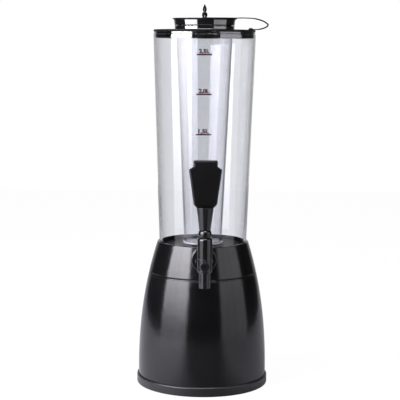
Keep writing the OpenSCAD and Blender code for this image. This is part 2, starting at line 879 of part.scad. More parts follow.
module lid() {
    color("#161618")
    difference() {
        rotate_extrude()
        union() {
            polygon([[neck_in_r, lid_z0], [lid_r - lid_bevel, lid_z0], [lid_r, lid_z0 + lid_bevel],
                [lid_r, lid_z1 - lid_bevel], [lid_r - lid_bevel, lid_z1], [neck_r + lid_bevel, lid_z1],
                [neck_r, lid_z1 + lid_bevel], [neck_r, neck_z1], [neck_in_r, neck_z1]]);
            polygon([[skirt_r - skirt_wall, lid_z0 - skirt_h], [skirt_r, lid_z0 - skirt_h],
                [skirt_r, lid_z0 + bite], [skirt_r - skirt_wall, lid_z0 + bite]]);
        }
        translate([strap_pin_x, 0, lid_z0 - past])
            cylinder(r = strap_pin_r + fit_gap, h = lid_t + 2 * past, $fn = 48);
    }
}

module lid_gasket() {
    color("#c9ccd2")
    difference() {
        rotate_extrude()
        translate([skirt_r + gasket_skirt_gap, gasket_z0])
            square([tube_top_r - gasket_edge - gasket_skirt_gap - skirt_r, gasket_t]);
        translate([strap_pin_x, 0, gasket_z0 - past])
            cylinder(r = strap_pin_r + strap_pin_room, h = gasket_t + 2 * past, $fn = 48);
    }
}

module ice_tube() {
    foot_r = ice_foot_r + ice_foot_flange_w;
    floor_z1 = ice_z0 + ice_floor_t;
    step_z = floor_z1 + ice_foot_step;
    color("lightsteelblue", 0.4)
    rotate_extrude()
    polygon([[0, ice_z0], [foot_r - ice_foot_bevel, ice_z0], [foot_r, ice_z0 + ice_foot_bevel],
        [foot_r, floor_z1], [ice_r(step_z), step_z], [ice_top_r, neck_z1], [ice_flange_r, neck_z1],
        [ice_flange_r, ice_flange_z1], [ice_top_r - ice_wall, ice_flange_z1],
        [ice_r(floor_z1) - ice_wall, floor_z1], [0, floor_z1]]);
}

// ---- Ice cap with its peg, seal and tether ----
cap_z0 = ice_flange_z1 + lift_gap;
cap_z1 = cap_z0 + cap_h;
cap_inset = 0.2;
cap_low_r = ice_flange_r - cap_inset;
cap_side_r = cap_low_r + cap_flare;
cap_r = cap_side_r + cap_rim_w;
cap_lip_w = 1;
cap_dish_edge = 0.8;
cap_dish = 0.8;
cap_disc_t = 2.5;
plug_bevel = 0.6;
cap_plug_gap = 0.5;
cap_floor_z = cap_z1 - cap_dish;
cap_plug_z0 = cap_z0 - plug_h;
cap_plug_r = ice_r(cap_plug_z0) - ice_wall - cap_plug_gap;
cap_seal_r = 0.8;
cap_seal_drop = 2.6;
cap_seal_z = cap_z0 - cap_seal_drop;
cap_seal_groove = 1.1;
cap_seal_fit = 0.02;
peg_r = 2;

module ice_cap() {
    color("#141416")
    difference() {
        rotate_extrude()
        polygon([[cap_plug_r - cap_wall, cap_plug_z0], [cap_plug_r - plug_bevel, cap_plug_z0],
            [cap_plug_r, cap_plug_z0 + plug_bevel], [cap_plug_r, cap_z0], [cap_low_r, cap_z0],
            [cap_side_r, cap_z1 - cap_rim_t], [cap_r, cap_z1 - cap_rim_t], [cap_r, cap_z1],
            [cap_side_r - cap_lip_w, cap_z1], [cap_side_r - cap_lip_w - cap_dish_edge, cap_floor_z],
            [0, cap_floor_z], [0, cap_floor_z - cap_disc_t],
            [cap_plug_r - cap_wall, cap_floor_z - cap_disc_t]]);
        translate([0, 0, cap_z0 - past])
            cylinder(r = peg_r + fit_gap, h = cap_h + 2 * past, $fn = 48);
        translate([0, 0, cap_seal_z])
        rotate_extrude()
        translate([cap_plug_r - cap_seal_groove, -cap_seal_r - seal_room])
            square([cap_seal_groove + past, 2 * (cap_seal_r + seal_room)]);
    }
}

module cap_seal() {
    color("#8a8a8e")
    translate([0, 0, cap_seal_z])
    rotate_extrude()
    translate([cap_plug_r - cap_seal_groove + cap_seal_r + cap_seal_fit, 0])
    circle(r = cap_seal_r, $fn = 32);
}

strap_lift = 0.05;
strap_z = cap_z1 + strap_t / 2 + strap_lift;
eye_z0 = cap_floor_z + strap_lift;
eye_lip = 0.2;
eye_ring_w = 1.7;
eye_room = 0.1;
eye_z1 = strap_z + strap_t / 2 + eye_lip;
peg_z0 = eye_z1 + eye_room;
peg_z1 = cap_z1 + peg_h;
peg_head_r = 4;
peg_head_t = 1.3;
// Share of the peg's height that its two lobes take, and the radii of lobes, waist and leaf
lobe_share = 0.36;
lobe_in_r = 2.2;
lobe_out = 1.6;
waist_r = 1.2;
leaf_out = 1.65;
leaf_taper = 1;
lobe_slot_w = 1.4;
leaf_slot_w = 0.7;

// The peg from below: a round head, a shank through the cap, two lobes, a waist and a leaf tip
module cap_peg() {
    lobe = (peg_z1 - peg_z0) * lobe_share;
    leaf_z = peg_z0 + lobe;
    leaf = peg_z1 - leaf_z;
    head_z1 = cap_floor_z - cap_disc_t;
    color("#0f0f11")
    difference() {
        rotate_extrude()
        polygon(concat(
            [[0, head_z1 - peg_head_t], [peg_head_r, head_z1 - peg_head_t], [peg_head_r, head_z1],
                [peg_r, head_z1], [peg_r, peg_z0]],
            [for (a = [0:20:160]) [lobe_in_r + lobe_out * sin(a), peg_z0 + lobe * (1 - cos(a)) / 2]],
            [[waist_r, leaf_z + 0.3]],
            [for (t = [0.1:0.1:0.9])
                [waist_r + leaf_out * sin(180 * pow(t, 0.75)) - leaf_taper * t, leaf_z + leaf * t]],
            [[0, peg_z1]]));
        translate([-lobe_slot_w / 2, -peg_head_r - past, peg_z0])
            cube([lobe_slot_w, 2 * (peg_head_r + past), lobe * 0.6]);
        translate([-leaf_slot_w / 2, -peg_head_r - past, leaf_z - 0.5])
            cube([leaf_slot_w, 2 * (peg_head_r + past), leaf * 0.55]);
    }
}

// The tether's route in the X-Z plane: out over the cap, round a loop, back to the lid's edge
strap_low_z = lid_z1 + strap_t / 2 + 0.15;
strap_mid_z = (strap_z + strap_low_z) / 2;
// Where the loop leaves the cap's level, and where it comes back to the lid's, from the loop's end
loop_out = 21;
loop_bend = 13;
loop_turn = 6;
loop_tip = 1.6;
loop_back = 11;
loop_home = 16.5;
strap_route = [[peg_r + 0.6, strap_z], [cap_r - 24.6, strap_z], [cap_r - 2.6, strap_z],
    [cap_r + 10.4, strap_z + 0.2], [strap_reach - loop_out, strap_z - 0.3],
    [strap_reach - loop_bend, strap_z - 1.8], [strap_reach - loop_turn, strap_z - 4.2],
    [strap_reach - loop_tip, strap_z - 7], [strap_reach, strap_mid_z - 1.2],
    [strap_reach - loop_tip - 0.1, strap_low_z + 4], [strap_reach - loop_turn, strap_low_z + 1.9],
    [strap_reach - loop_back, strap_low_z + 0.6], [strap_reach - loop_home, strap_low_z],
    [strap_pin_x + 2.2, strap_low_z]];

pin_head_z = strap_low_z + strap_t / 2 + eye_lip + strap_lift;

// Catmull-Rom point between p[i] and p[i + 1]
function curve_point(p, i, t) =
    let (a = p[max(i - 1, 0)], b = p[i], c = p[i + 1], d = p[min(i + 2, len(p) - 1)])
    0.5 * (2 * b + (c - a) * t + (2 * a - 5 * b + 4 * c - d) * t * t + (3 * b - a - 3 * c + d) * t * t * t);
strap_line = [for (i = [0:len(strap_route) - 2]) for (s = [0:4]) curve_point(strap_route, i, s / 5),
    strap_route[len(strap_route) - 1]];
function strap_side(p, i, way) =
    let (d = p[min(i + 1, len(p) - 1)] - p[max(i - 1, 0)], n = [-d[1], d[0]] / norm(d))
    p[i] + n * way * strap_t / 2;

// An eyelet that lies flat round a pin
module eyelet(x, z0, z1, hole_r) {
    translate([x, 0, z0])
    difference() {
        cylinder(r = hole_r + eye_ring_w, h = z1 - z0, $fn = 48);
        translate([0, 0, -past])
            cylinder(r = hole_r, h = z1 - z0 + 2 * past, $fn = 48);
    }
}

module tether_strap() {
    n = len(strap_line);
    color("#101012")
    difference() {
        union() {
            translate([0, strap_w / 2, 0])
                rotate([90, 0, 0])
                linear_extrude(strap_w)
                polygon(concat([for (i = [0:n - 1]) strap_side(strap_line, i, 1)],
                    [for (i = [n - 1:-1:0]) strap_side(strap_line, i, -1)]));
            eyelet(0, eye_z0, eye_z1, peg_r + eye_room);
            eyelet(strap_pin_x, lid_z1 + strap_lift, pin_head_z - strap_lift, strap_pin_r + eye_room);
        }
        translate([0, 0, eye_z0 - past])
            cylinder(r = peg_r + eye_room, h = eye_z1 - eye_z0 + 2 * past, $fn = 48);
        translate([strap_pin_x, 0, lid_z0])
            cylinder(r = strap_pin_r + eye_room, h = pin_head_z + past - lid_z0, $fn = 48);
    }
}

module strap_pin() {
    color("#0f0f11")
    translate([strap_pin_x, 0, 0]) {
        translate([0, 0, lid_z0 - 1.3])
            cylinder(r = strap_pin_r, h = pin_head_z - lid_z0 + 1.4, $fn = 48);
        translate([0, 0, pin_head_z])
            cylinder(r1 = 2.9, r2 = 2.2, h = 1, $fn = 48);
        translate([0, 0, lid_z0 - 1.6])
            cylinder(r1 = 1.2, r2 = 2.1, h = 1.5, $fn = 48);
    }
}

foot_tray();
foot_pads();
tray_screws();
base_bell();
collar();
floor_pan();
pan_screws();
tube_seal();
reservoir_tube();
shank();
outer_washer();
inner_washer();
shank_nut();
coupling_nut();
tap_body();
front_plug();
spout();
bonnet();
valve_spring();
valve_stem();
seat_cup();
lever_ball();
lift_pin();
handle_stem();
handle_paddle();
lid();
lid_gasket();
ice_tube();
ice_cap();
cap_seal();
cap_peg();
tether_strap();
strap_pin();
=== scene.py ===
"""A table-top drink tower in its colours and finishes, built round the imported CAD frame.

Lengths are in millimetres until a mesh is made, which turns them to metres. The camera, the
lamps and the patterns of the finishes are in metres. The tap points along -Y, the tether's
loop along +X, and the origin is the middle of the face it stands on.
"""
import math

import bmesh
import bpy
import numpy as np
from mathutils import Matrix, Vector


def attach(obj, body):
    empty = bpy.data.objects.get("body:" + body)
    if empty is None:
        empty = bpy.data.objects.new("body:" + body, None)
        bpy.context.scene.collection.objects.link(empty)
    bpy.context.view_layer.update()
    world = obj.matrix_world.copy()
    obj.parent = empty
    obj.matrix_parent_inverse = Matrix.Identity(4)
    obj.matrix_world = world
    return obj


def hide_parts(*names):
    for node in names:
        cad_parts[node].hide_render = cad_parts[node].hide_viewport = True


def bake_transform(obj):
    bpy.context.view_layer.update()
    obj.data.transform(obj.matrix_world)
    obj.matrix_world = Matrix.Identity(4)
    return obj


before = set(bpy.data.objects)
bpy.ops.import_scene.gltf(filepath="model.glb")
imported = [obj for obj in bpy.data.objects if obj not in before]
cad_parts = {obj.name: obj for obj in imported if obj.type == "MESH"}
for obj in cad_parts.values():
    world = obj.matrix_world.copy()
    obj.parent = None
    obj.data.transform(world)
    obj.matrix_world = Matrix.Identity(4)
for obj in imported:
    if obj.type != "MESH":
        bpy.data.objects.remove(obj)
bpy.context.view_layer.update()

# ---- Camera ----
# The picture is taken from about 1.75 m away, a little left of the tap and just below the
# lid's height, with a long lens. The camera leans by half a degree.
CAMERA_AZIMUTH = math.radians(-1.3)
CAMERA_DISTANCE = 1.75
CAMERA_HEIGHT = 0.4708
AIM_HEIGHT = 0.2590
AIM_LEFT = 0.0045
CAMERA_ROLL = math.radians(0.45)
FOCAL_PIXELS = 1254
FRAME_PIXELS = 400

right = Vector((math.cos(CAMERA_AZIMUTH), math.sin(CAMERA_AZIMUTH), 0))
camera_data = bpy.data.cameras.new("camera")
camera_data.sensor_fit = "HORIZONTAL"
camera_data.sensor_width = 36
camera_data.lens = camera_data.sensor_width * FOCAL_PIXELS / FRAME_PIXELS
camera_data.clip_start = 0.05
camera_data.clip_end = 30
camera = bpy.data.objects.new("camera", camera_data)
camera.location = (CAMERA_DISTANCE * math.sin(CAMERA_AZIMUTH),
                   -CAMERA_DISTANCE * math.cos(CAMERA_AZIMUTH), CAMERA_HEIGHT)
aim = Vector((0, 0, AIM_HEIGHT)) - right * AIM_LEFT - camera.location
camera.rotation_euler = aim.to_track_quat("-Z", "Y").to_euler()
camera.rotation_euler.rotate_axis("Z", CAMERA_ROLL)
bpy.context.scene.collection.objects.link(camera)
bpy.context.scene.camera = camera
bpy.context.scene.view_settings.view_transform = "Standard"


# ---- Studio light ----
# White paper hangs behind. A bright soft box stands at the left, a weak one at the right, and
# two small ones hang above. The room between them is dark, which the black gloss mirrors.
class Wire:
    """A socket that carries a value. Arithmetic on it adds Math nodes to its tree."""

    def __init__(self, nodes, socket):
        self.nodes, self.socket = nodes, socket

    def maths(self, operation, *values):
        return self.nodes.add("Math", {"operation": operation}, dict(enumerate(values)))

    def __add__(self, other):
        return self.maths("ADD", self, other)

    def __sub__(self, other):
        return self.maths("SUBTRACT", self, other)

    def __rsub__(self, other):
        return self.maths("SUBTRACT", other, self)

    def __mul__(self, other):
        return self.maths("MULTIPLY", self, other)

    def __lt__(self, other):
        return self.maths("LESS_THAN", self, other)

    def __or__(self, other):
        return self.maths("MAXIMUM", self, other)

    __radd__ = __add__
    __rmul__ = __mul__

    def out(self, name):
        """Another output of the node that this wire comes from."""
        return Wire(self.nodes, self.socket.node.outputs[name])


class Nodes:
    """The node tree of one material or of the world."""

    def __init__(self, tree):
        self.tree = tree
        tree.nodes.clear()

    def add(self, kind, settings=None, inputs=None):
        """Adds a node: its settings first, then values or wires for its inputs."""
        made = self.tree.nodes.new("ShaderNode" + kind)
        for name, value in (settings or {}).items():
            if name == "stops":
                for stop in list(made.color_ramp.elements)[1:]:
                    made.color_ramp.elements.remove(stop)
                made.color_ramp.elements[0].position = value[0][0]
                made.color_ramp.elements[0].color = value[0][1]
                for place, colour in value[1:]:
                    made.color_ramp.elements.new(place).color = colour
            else:
                setattr(made, name, value)
        for key, value in (inputs or {}).items():
            if isinstance(value, Wire):
                self.tree.links.new(value.socket, made.inputs[key])
            else:
                made.inputs[key].default_value = value
        return Wire(self, made.outputs[0]) if made.outputs else made

    def step(self, value, low, high):
        """Rises smoothly from 0 where value is low to 1 where it is high."""
        return self.add("MapRange", {"interpolation_type": "SMOOTHSTEP"},
                        {"Value": value, "From Min": low, "From Max": high})

    def apart(self, vector):
        """The three parts of a vector, by name: its wire's out("X"), out("Y") and out("Z")."""
        return self.add("SeparateXYZ", None, {0: vector})

    def noise(self, place, scale, detail):
        """Smooth noise at a place: scale is its waves per metre, detail its finer layers."""
        return self.add("TexNoise", None, {"Vector": place, "Scale": scale, "Detail": detail})

    def ramp(self, value, *stops):
        """A colour that goes with a value through stops of (value, red, green, blue)."""
        stops = [(at, (*colour, 1)) for at, *colour in stops]
        return self.add("ValToRGB", {"stops": stops}, {0: value})

    def stretched(self, place, x, y, z):
        """A place scaled along its axes: less than 1 draws a pattern out that way."""
        return self.add("Mapping", None, {"Vector": place, "Scale": (x, y, z)})

    def bump(self, height, strength, depth):
        """Normals bent by a height, depth being its reach in metres."""
        return self.add("Bump", None, {"Height": height, "Strength": strength, "Distance": depth})


def seen_straight(nodes):
    """1 for rays that see the background itself, past the object or through clear walls."""
    path = nodes.add("LightPath")
    clear = path.out("Is Transmission Ray") * (path.out("Glossy Depth") < 0.5)
    return path.out("Is Camera Ray") | clear


# What a mirroring surface sees: the room's glow all round, the paper's where the ray's share
# toward the back passes its edges, and the paper's middle, which is brighter still.
ROOM_GLOW = 0.03
PAPER_GLOW, PAPER_EDGES = 0.5, (0.74, 0.94)
MIDDLE_GLOW, MIDDLE_EDGES = 0.6, (0.955, 0.99)
# What lights a dull surface from all round.
SOFT_FILL = 0.42

world = bpy.data.worlds.new("studio")
bpy.context.scene.world = world
world.use_nodes = True
sky = Nodes(world.node_tree)
backward = sky.apart(sky.add("TexCoord").out("Generated")).out("Y")
paper = sky.step(backward, *PAPER_EDGES)
middle = sky.step(backward, *MIDDLE_EDGES)
gloss = ROOM_GLOW + PAPER_GLOW * paper + MIDDLE_GLOW * middle
diffuse = sky.add("LightPath").out("Is Diffuse Ray")
unseen = diffuse * SOFT_FILL + (1 - diffuse) * gloss
seen = seen_straight(sky)
sky.add("OutputWorld", None, {"Surface": sky.add(
    "Background", None, {"Color": (1, 1, 1, 1), "Strength": seen + (1 - seen) * unseen})})

BOX_TINT = (0.99, 0.975, 1.045, 1)
FOLDS_ACROSS = 11
FOLD_DIM, FOLD_RISE = 0.62, 0.76
# The share of a box's glow at shares of its height, from its foot up.
LEFT_FADE = [(0, 0.07), (0.12, 0.085), (0.2, 0.16), (0.27, 0.32), (0.45, 0.6), (0.75, 1)]
RIGHT_FADE = [(0.1, 0.6), (0.3, 0.68), (0.48, 1)]


def soft_box(name, place, size, glow, fade=None):
    """A rectangular lamp that faces the tower's axis. Glow is its radiance, and fade gives the
    share of it from the lamp's foot to its head, as stops of a ramp. Its cloth hangs in folds."""
    data = bpy.data.lights.new(name, "AREA")
    if fade:
        data.use_nodes = True
        cloth = Nodes(data.node_tree)
        face = cloth.apart(cloth.add("NewGeometry").out("Parametric"))
        folds = cloth.add("TexNoise", {"noise_dimensions": "1D"},
                          {"W": face.out("X"), "Scale": FOLDS_ACROSS, "Detail": 1.5})
        level = cloth.ramp(face.out("Y"), *[(at, share, share, share) for at, share in fade])
        lit = cloth.add("Emission", None, {
            "Color": BOX_TINT, "Strength": level * (FOLD_DIM + FOLD_RISE * folds)})
        cloth.add("OutputLight", None, {"Surface": lit})
    data.shape = "RECTANGLE"
    data.size, data.size_y = size
    data.energy = glow * math.pi * size[0] * size[1]
    lamp = bpy.data.objects.new(name, data)
    lamp.location = place
    facing = Vector((0, 0, min(place[2], 1))) - Vector(place)
    lamp.rotation_euler = facing.to_track_quat("-Z", "Y").to_euler()
    lamp.visible_camera = False
    bpy.context.scene.collection.objects.link(lamp)


soft_box("left_box", (-0.981, -0.691, 0.5), (1.13, 1.3), 12, LEFT_FADE)
soft_box("right_box", (1.137, -0.63, 0.45), (1.325, 1.2), 1.15, RIGHT_FADE)
soft_box("top_box", (0, -0.25, 1.6), (0.8, 0.8), 2.5)
soft_box("strip_box", (0, -0.95, 1.35), (1.2, 0.3), 10)
bpy.data.objects["strip_box"].visible_diffuse = False


# ---- Table top ----
# A plain pale board that the tower stands on. It looks white from above. To the gloss it has
# painted shade close in front of the tower, in place of the dark side of the room that a real
# one mirrors, and painted light where the two boxes fall on it.
def closed_grid(points):
    """Quads over a grid of points (rows, columns, 3) that wraps round both ways."""
    rows, columns = points.shape[:2]
    index = np.arange(rows * columns).reshape(rows, columns)
    down = np.roll(index, -1, 0)
    quads = np.stack([index, np.roll(index, -1, 1), np.roll(down, -1, 1), down], -1)
    return points.reshape(-1, 3), quads.reshape(-1, 4).tolist()


def closed_ends(rings):
    """Rings of points along a bar, with one more at each end that is shrunk to its middle."""
    ends = rings[[0, -1]].mean(1, keepdims=True).repeat(rings.shape[1], 1)
    return np.concatenate([ends[:1], rings, ends[1:]])


def box_shape(low, high):
    """A block between two corners: two level rings of four points, closed at both ends."""
    (x0, y0, z0), (x1, y1, z1) = low, high
    ring = np.array([[x0, y0], [x1, y0], [x1, y1], [x0, y1]], float)
    return closed_ends(np.stack([np.column_stack([ring, np.full(4, z)]) for z in (z0, z1)]))


# An edge that bends by more degrees stays crisp. Points nearer than this, in metres, are one,
# and an edge shorter than this is none.
CRISP_ANGLE = 32
SAME_POINT, NO_EDGE = 2e-6, 1e-7


def mesh_from(name, shapes, sharp=CRISP_ANGLE):
    """One mesh in metres from closed grids in millimetres. Equal points are merged, which closes
    seams and poles, faces are turned outward, and edges sharper than the angle stay crisp."""
    points, faces, count = [], [], 0
    for shape in shapes:
        at, quads = closed_grid(np.asarray(shape, float))
        faces += [[k + count for k in q] for q in quads]
        points.append(at)
        count += len(at)
    mesh = bpy.data.meshes.new(name)
    mesh.from_pydata((np.concatenate(points) * 0.001).tolist(), [], faces)
    tidy_mesh(mesh, sharp)
    return mesh


def tidy_mesh(mesh, sharp=CRISP_ANGLE):
    """Merges equal points, drops edges without faces, turns faces outward and shades smoothly."""
    work = bmesh.new()
    work.from_mesh(mesh)
    bmesh.ops.remove_doubles(work, verts=work.verts, dist=SAME_POINT)
    bmesh.ops.dissolve_degenerate(work, edges=work.edges, dist=NO_EDGE)
    loose = [edge for edge in work.edges if not edge.link_faces]
    bmesh.ops.delete(work, geom=loose, context="EDGES")
    bmesh.ops.recalc_face_normals(work, faces=work.faces)
    work.to_mesh(mesh)
    work.free()
    mesh.shade_smooth()
    mesh.set_sharp_from_angle(angle=math.radians(sharp))


def solid(name, shapes, sharp=CRISP_ANGLE):
    """An object at the origin made of closed grids."""
    made = bpy.data.objects.new(name, mesh_from(name, shapes, sharp))
    bpy.context.scene.collection.objects.link(made)
    return made


def baked(made, sharp):
    """Applies an object's modifiers, then tidies the mesh."""
    graph = bpy.context.evaluated_depsgraph_get()
    mesh = bpy.data.meshes.new_from_object(made.evaluated_get(graph))
    made.modifiers.clear()
    made.data = mesh
    mesh.name = made.name
    tidy_mesh(mesh, sharp)


def carved(name, start, steps, sharp=CRISP_ANGLE):
    """Starts from closed grids, then adds (UNION) or takes away (DIFFERENCE) others in turn."""
    made = solid(name, start, sharp)
    for number, (operation, shapes) in enumerate(steps):
        tool = solid(f"{name}_tool_{number}", shapes, sharp)
        change = made.modifiers.new(operation, "BOOLEAN")
        change.operation, change.solver, change.object = operation, "EXACT", tool
        baked(made, sharp)
        bpy.data.objects.remove(tool)
    return made


def new_finish(name):
    """An empty material, its nodes, and the piece's own coordinates, which patterns follow."""
    finish = bpy.data.materials.new(name)
    finish.use_nodes = True
    nodes = Nodes(finish.node_tree)
    return finish, nodes, nodes.add("TexCoord").out("Object")


TABLE_LOW = (-850, -950, -30)
TABLE_HIGH = (850, 2400, 0)
TABLE_TONE = (0.795, 0.79, 0.85)
TABLE_WHITE = 1.03
SEEN_WHITE = 0.93
# Painted shade on the board, seen by the gloss and by bounced light: some all over and more close
# in front, less painted light where the two boxes light it, beyond a slanting line at the left and
# at the right.
EVEN_DARK, NEAR_DARK = 0.2, 0.63
LEFT_LIFT, RIGHT_LIFT = 0.83, 0.5
SIDE_SLANT = 0.6

table = solid("table_top", [box_shape(TABLE_LOW, TABLE_HIGH)])
table_finish, board, on_board = new_finish("pale_table")
on_board = board.apart(on_board)
rightward, backward = on_board.out("X"), on_board.out("Y")
seen = seen_straight(board)
# Painted shade in front and painted light beside it, in the board's colour for every ray that does
# not see it straight.
near = 1 - board.step(backward, -0.12, 0.12)
painted_left_light = 1 - board.step(rightward - SIDE_SLANT * backward, -0.06, 0.09)
painted_right_light = board.step(rightward + SIDE_SLANT * backward, -0.05, 0.12)
painted_shade = EVEN_DARK + near * (NEAR_DARK - LEFT_LIFT * painted_left_light - RIGHT_LIFT * painted_right_light)
tone = board.ramp(1 - (1 - seen) * painted_shade, (0, 0, 0, 0), (1, *TABLE_TONE))
shade = board.add("BsdfDiffuse", None, {"Color": tone})
glow = board.add("Emission", None, {"Color": (1, 1, 1, 1), "Strength": TABLE_WHITE})
board.add("OutputMaterial", None, {"Surface": board.add(
    "MixShader", None, {0: seen * SEEN_WHITE, 1: shade, 2: glow})})
table.data.materials.append(table_finish)


# ---- Foot tray ----
# A round satin tray, moulded in black plastic, with a lip round the bell's foot. Four screws
# from below hold it to the bell, and each pad sits flush in its own recess.
def softened(corners, radius, steps=5):
    """Rounds the corners of a closed outline. A corner P becomes (1-t)^2 A + 2t(1-t) P + t^2 B,
    with A and B on its two edges at the radius, or 45 % along where the edge is short."""
    corners = np.asarray(corners, float)
    radius = np.broadcast_to(np.asarray(radius, float), len(corners))[:, None]
    before, after = np.roll(corners, 1, 0) - corners, np.roll(corners, -1, 0) - corners
    long_before = np.linalg.norm(before, axis=1, keepdims=True)
    long_after = np.linalg.norm(after, axis=1, keepdims=True)
    a = corners + before / long_before * np.minimum(radius, 0.45 * long_before)
    b = corners + after / long_after * np.minimum(radius, 0.45 * long_after)
    t = np.linspace(0, 1, steps)[None, :, None]
    curve = (1 - t) ** 2 * a[:, None] + 2 * t * (1 - t) * corners[:, None] + t ** 2 * b[:, None]
    curve = curve.reshape(-1, 2)
    return curve[np.linalg.norm(curve - np.roll(curve, 1, 0), axis=1) > 1e-4]


LONG_EDGE, SHORT_SHARE = 1.2, 0.35
BRACE = 0.4


def braced(outline):
    """Adds a point close to the end of each long edge that meets a short one, so that smooth
    shading bends only round the corner and the long face stays true."""
    at = np.asarray(outline, float)
    step = np.roll(at, -1, 0) - at
    length = np.linalg.norm(step, axis=1)
    share = (np.minimum(BRACE, 0.2 * length) / length)[:, None]
    points = np.stack([at, at + share * step, at + (1 - share) * step], 1)
    after_short = (length > LONG_EDGE) & (np.roll(length, 1) < SHORT_SHARE * length)
    before_short = (length > LONG_EDGE) & (np.roll(length, -1) < SHORT_SHARE * length)
    every = np.full(len(at), True)
    return points[np.stack([every, after_short, before_short], 1)]


def round_turn(sides):
    """The angles of one full turn, as a column."""
    return np.linspace(0, 2 * np.pi, sides, endpoint=False)[:, None]


def turned(outline, sides=240, centre=(0, 0)):
    """A closed outline of points (r, z) turned round an upright axis: (r cos a, r sin a, z)."""
    a = round_turn(sides)
    r, z = braced(outline).T
    return np.stack([centre[0] + r * np.cos(a), centre[1] + r * np.sin(a), z + 0 * a], -1)


def rod(radius, z0, z1, centre=(0, 0), sides=64):
    """A plain upright cylinder."""
    return turned([[0, z0], [radius, z0], [radius, z1], [0, z1]], sides, centre)


def ring_places(count, radius):
    """Places round the axis, half a step off the X axis."""
    a = (np.arange(count) + 0.5) * 2 * np.pi / count
    return np.column_stack([radius * np.cos(a), radius * np.sin(a)])


def shaded(colour, share, lift=0.0):
    """A colour made darker or lighter: each part times the share, plus the lift."""
    return [part * share + lift for part in colour]


def close_finish(nodes, sockets):
    """Ends a finish: one skin with the given sockets, wired to the output."""
    skin = nodes.add("BsdfPrincipled", None, sockets)
    nodes.add("OutputMaterial", None, {"Surface": skin})


def moulded(name, colour, rough, peel, grain=1.0, bend=1.58, flow=0.0):
    """Moulded plastic: a base colour that drifts a little, a skin whose gloss varies in broad
    patches and fine specks, and a bump of wide peel with fine grain and upright flow lines.
    Bend is the index of refraction, which sets how strongly it mirrors."""
    finish, nodes, place = new_finish(name)
    broad = nodes.noise(place, 26, 3)
    fine = nodes.noise(place, 900, 2)
    wide = nodes.noise(place, 90, 1)
    lines = nodes.noise(nodes.stretched(place, 1, 1, 0.06), 170, 2)
    relief = wide * peel + fine * (0.12 * grain * peel) + lines * flow
    close_finish(nodes, {
        "Base Color": nodes.ramp(broad, (0.3, *shaded(colour, 0.8)), (0.7, *shaded(colour, 1.25))),
        "Roughness": rough * (0.86 + 0.2 * broad + 0.08 * fine),
        "Normal": nodes.bump(relief, 0.35, 0.001), "IOR": bend})
    return finish


def stand_in(made, node, finish):
    """Gives a piece its finish, and hands it to the frame in place of its CAD node."""
    made.data.materials.clear()
    made.data.materials.append(finish)
    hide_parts(node)


def place_piece(made, body, node, finish):
    """A piece that stands in for a CAD node and moves with one body."""
    stand_in(made, node, finish)
    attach(made, body)


def second_finish(made, finish, chosen):
    """Gives another finish to the faces that a test of x, y and z (mm) picks by their middles."""
    middles = np.zeros(len(made.data.polygons) * 3)
    made.data.polygons.foreach_get("center", middles)
    picked = chosen(*(middles.reshape(-1, 3).T * 1000))
    made.data.materials.append(finish)
    made.data.polygons.foreach_set("material_index", picked.astype(np.int32))
    made.data.update()


def dress(node, finish):
    """Gives a CAD node that stays in view its finish."""
    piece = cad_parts[node]
    for slot in piece.material_slots:
        slot.material = finish
    if not piece.material_slots:
        piece.data.materials.append(finish)


TRAY_RADIUS = 92.1
TRAY_INNER = 90.1
TRAY_HEIGHT = 13.3
TRAY_FLOOR = 4.5
SCREW_RING = 82.8
SCREW_HEAD, SCREW_HEAD_DEEP = 4.1, 2.6
SCREW_CLEAR = 2.1
PAD_RING = 66.0
PAD_RECESS, PAD_DEEP = 9.05, 1.5

satin_black = moulded("satin_black_plastic", (0.012, 0.012, 0.013), 0.32, 0.5, 1.6)
tray_outline = softened(
    [[0, 0], [TRAY_RADIUS - 1, 0], [TRAY_RADIUS, 1], [TRAY_RADIUS, TRAY_HEIGHT - 1.4],
     [TRAY_RADIUS - 1.4, TRAY_HEIGHT], [TRAY_INNER, TRAY_HEIGHT], [TRAY_INNER, TRAY_FLOOR],
     [0, TRAY_FLOOR]], [0, 0.6, 0.6, 1, 1, 0.2, 0.3, 0])
screw_hole = [[0, -1], [SCREW_HEAD, -1], [SCREW_HEAD, SCREW_HEAD_DEEP],
              [SCREW_CLEAR, SCREW_HEAD_DEEP], [SCREW_CLEAR, TRAY_FLOOR + 1], [0, TRAY_FLOOR + 1]]
tray_cuts = [("DIFFERENCE", [rod(PAD_RECESS, -1, PAD_DEEP, place, 96)])
             for place in ring_places(4, PAD_RING)]
tray_cuts += [("DIFFERENCE", [turned(screw_hole, 64, place)])
              for place in ring_places(4, SCREW_RING)]
foot_shell = carved("foot_shell", [turned(tray_outline, 288)], tray_cuts)
place_piece(foot_shell, "base", "foot_tray", satin_black)


# ---- Pads and tray screws ----
# Four discs of soft black rubber, and four plain steel screws with hexagon sockets. The pads
# are glued in, the screws go up into the bell's bosses.
def rubbery(name, colour, rough=0.75):
    """Soft rubber: matt, with a fine pitted skin and a faint bloom in patches."""
    finish, nodes, place = new_finish(name)
    bloom = nodes.noise(place, 60, 4)
    pits = nodes.add("TexVoronoi", None, {"Vector": place, "Scale": 1100})
    close_finish(nodes, {
        "Base Color": nodes.ramp(bloom, (0.35, *shaded(colour, 0.75)),
                                 (0.75, *shaded(colour, 1.3))),
        "Roughness": rough - 0.15 * bloom, "Normal": nodes.bump(pits, 0.4, 0.0002)})
    return finish


def steely(name, tone, rough=0.28):
    """Plain stainless steel: fine drawn lines in its gloss, and a slightly uneven tone."""
    finish, nodes, place = new_finish(name)
    lines = nodes.noise(nodes.stretched(place, 1, 1, 14), 500, 3)
    cloud = nodes.noise(place, 120, 2)
    close_finish(nodes, {
        "Base Color": nodes.ramp(cloud, (0.3, *shaded(tone, 0.85)), (0.7, *tone)),
        "Metallic": 1, "Roughness": rough + 0.2 * lines, "Normal": nodes.bump(lines, 0.2, 0.0001)})
    return finish


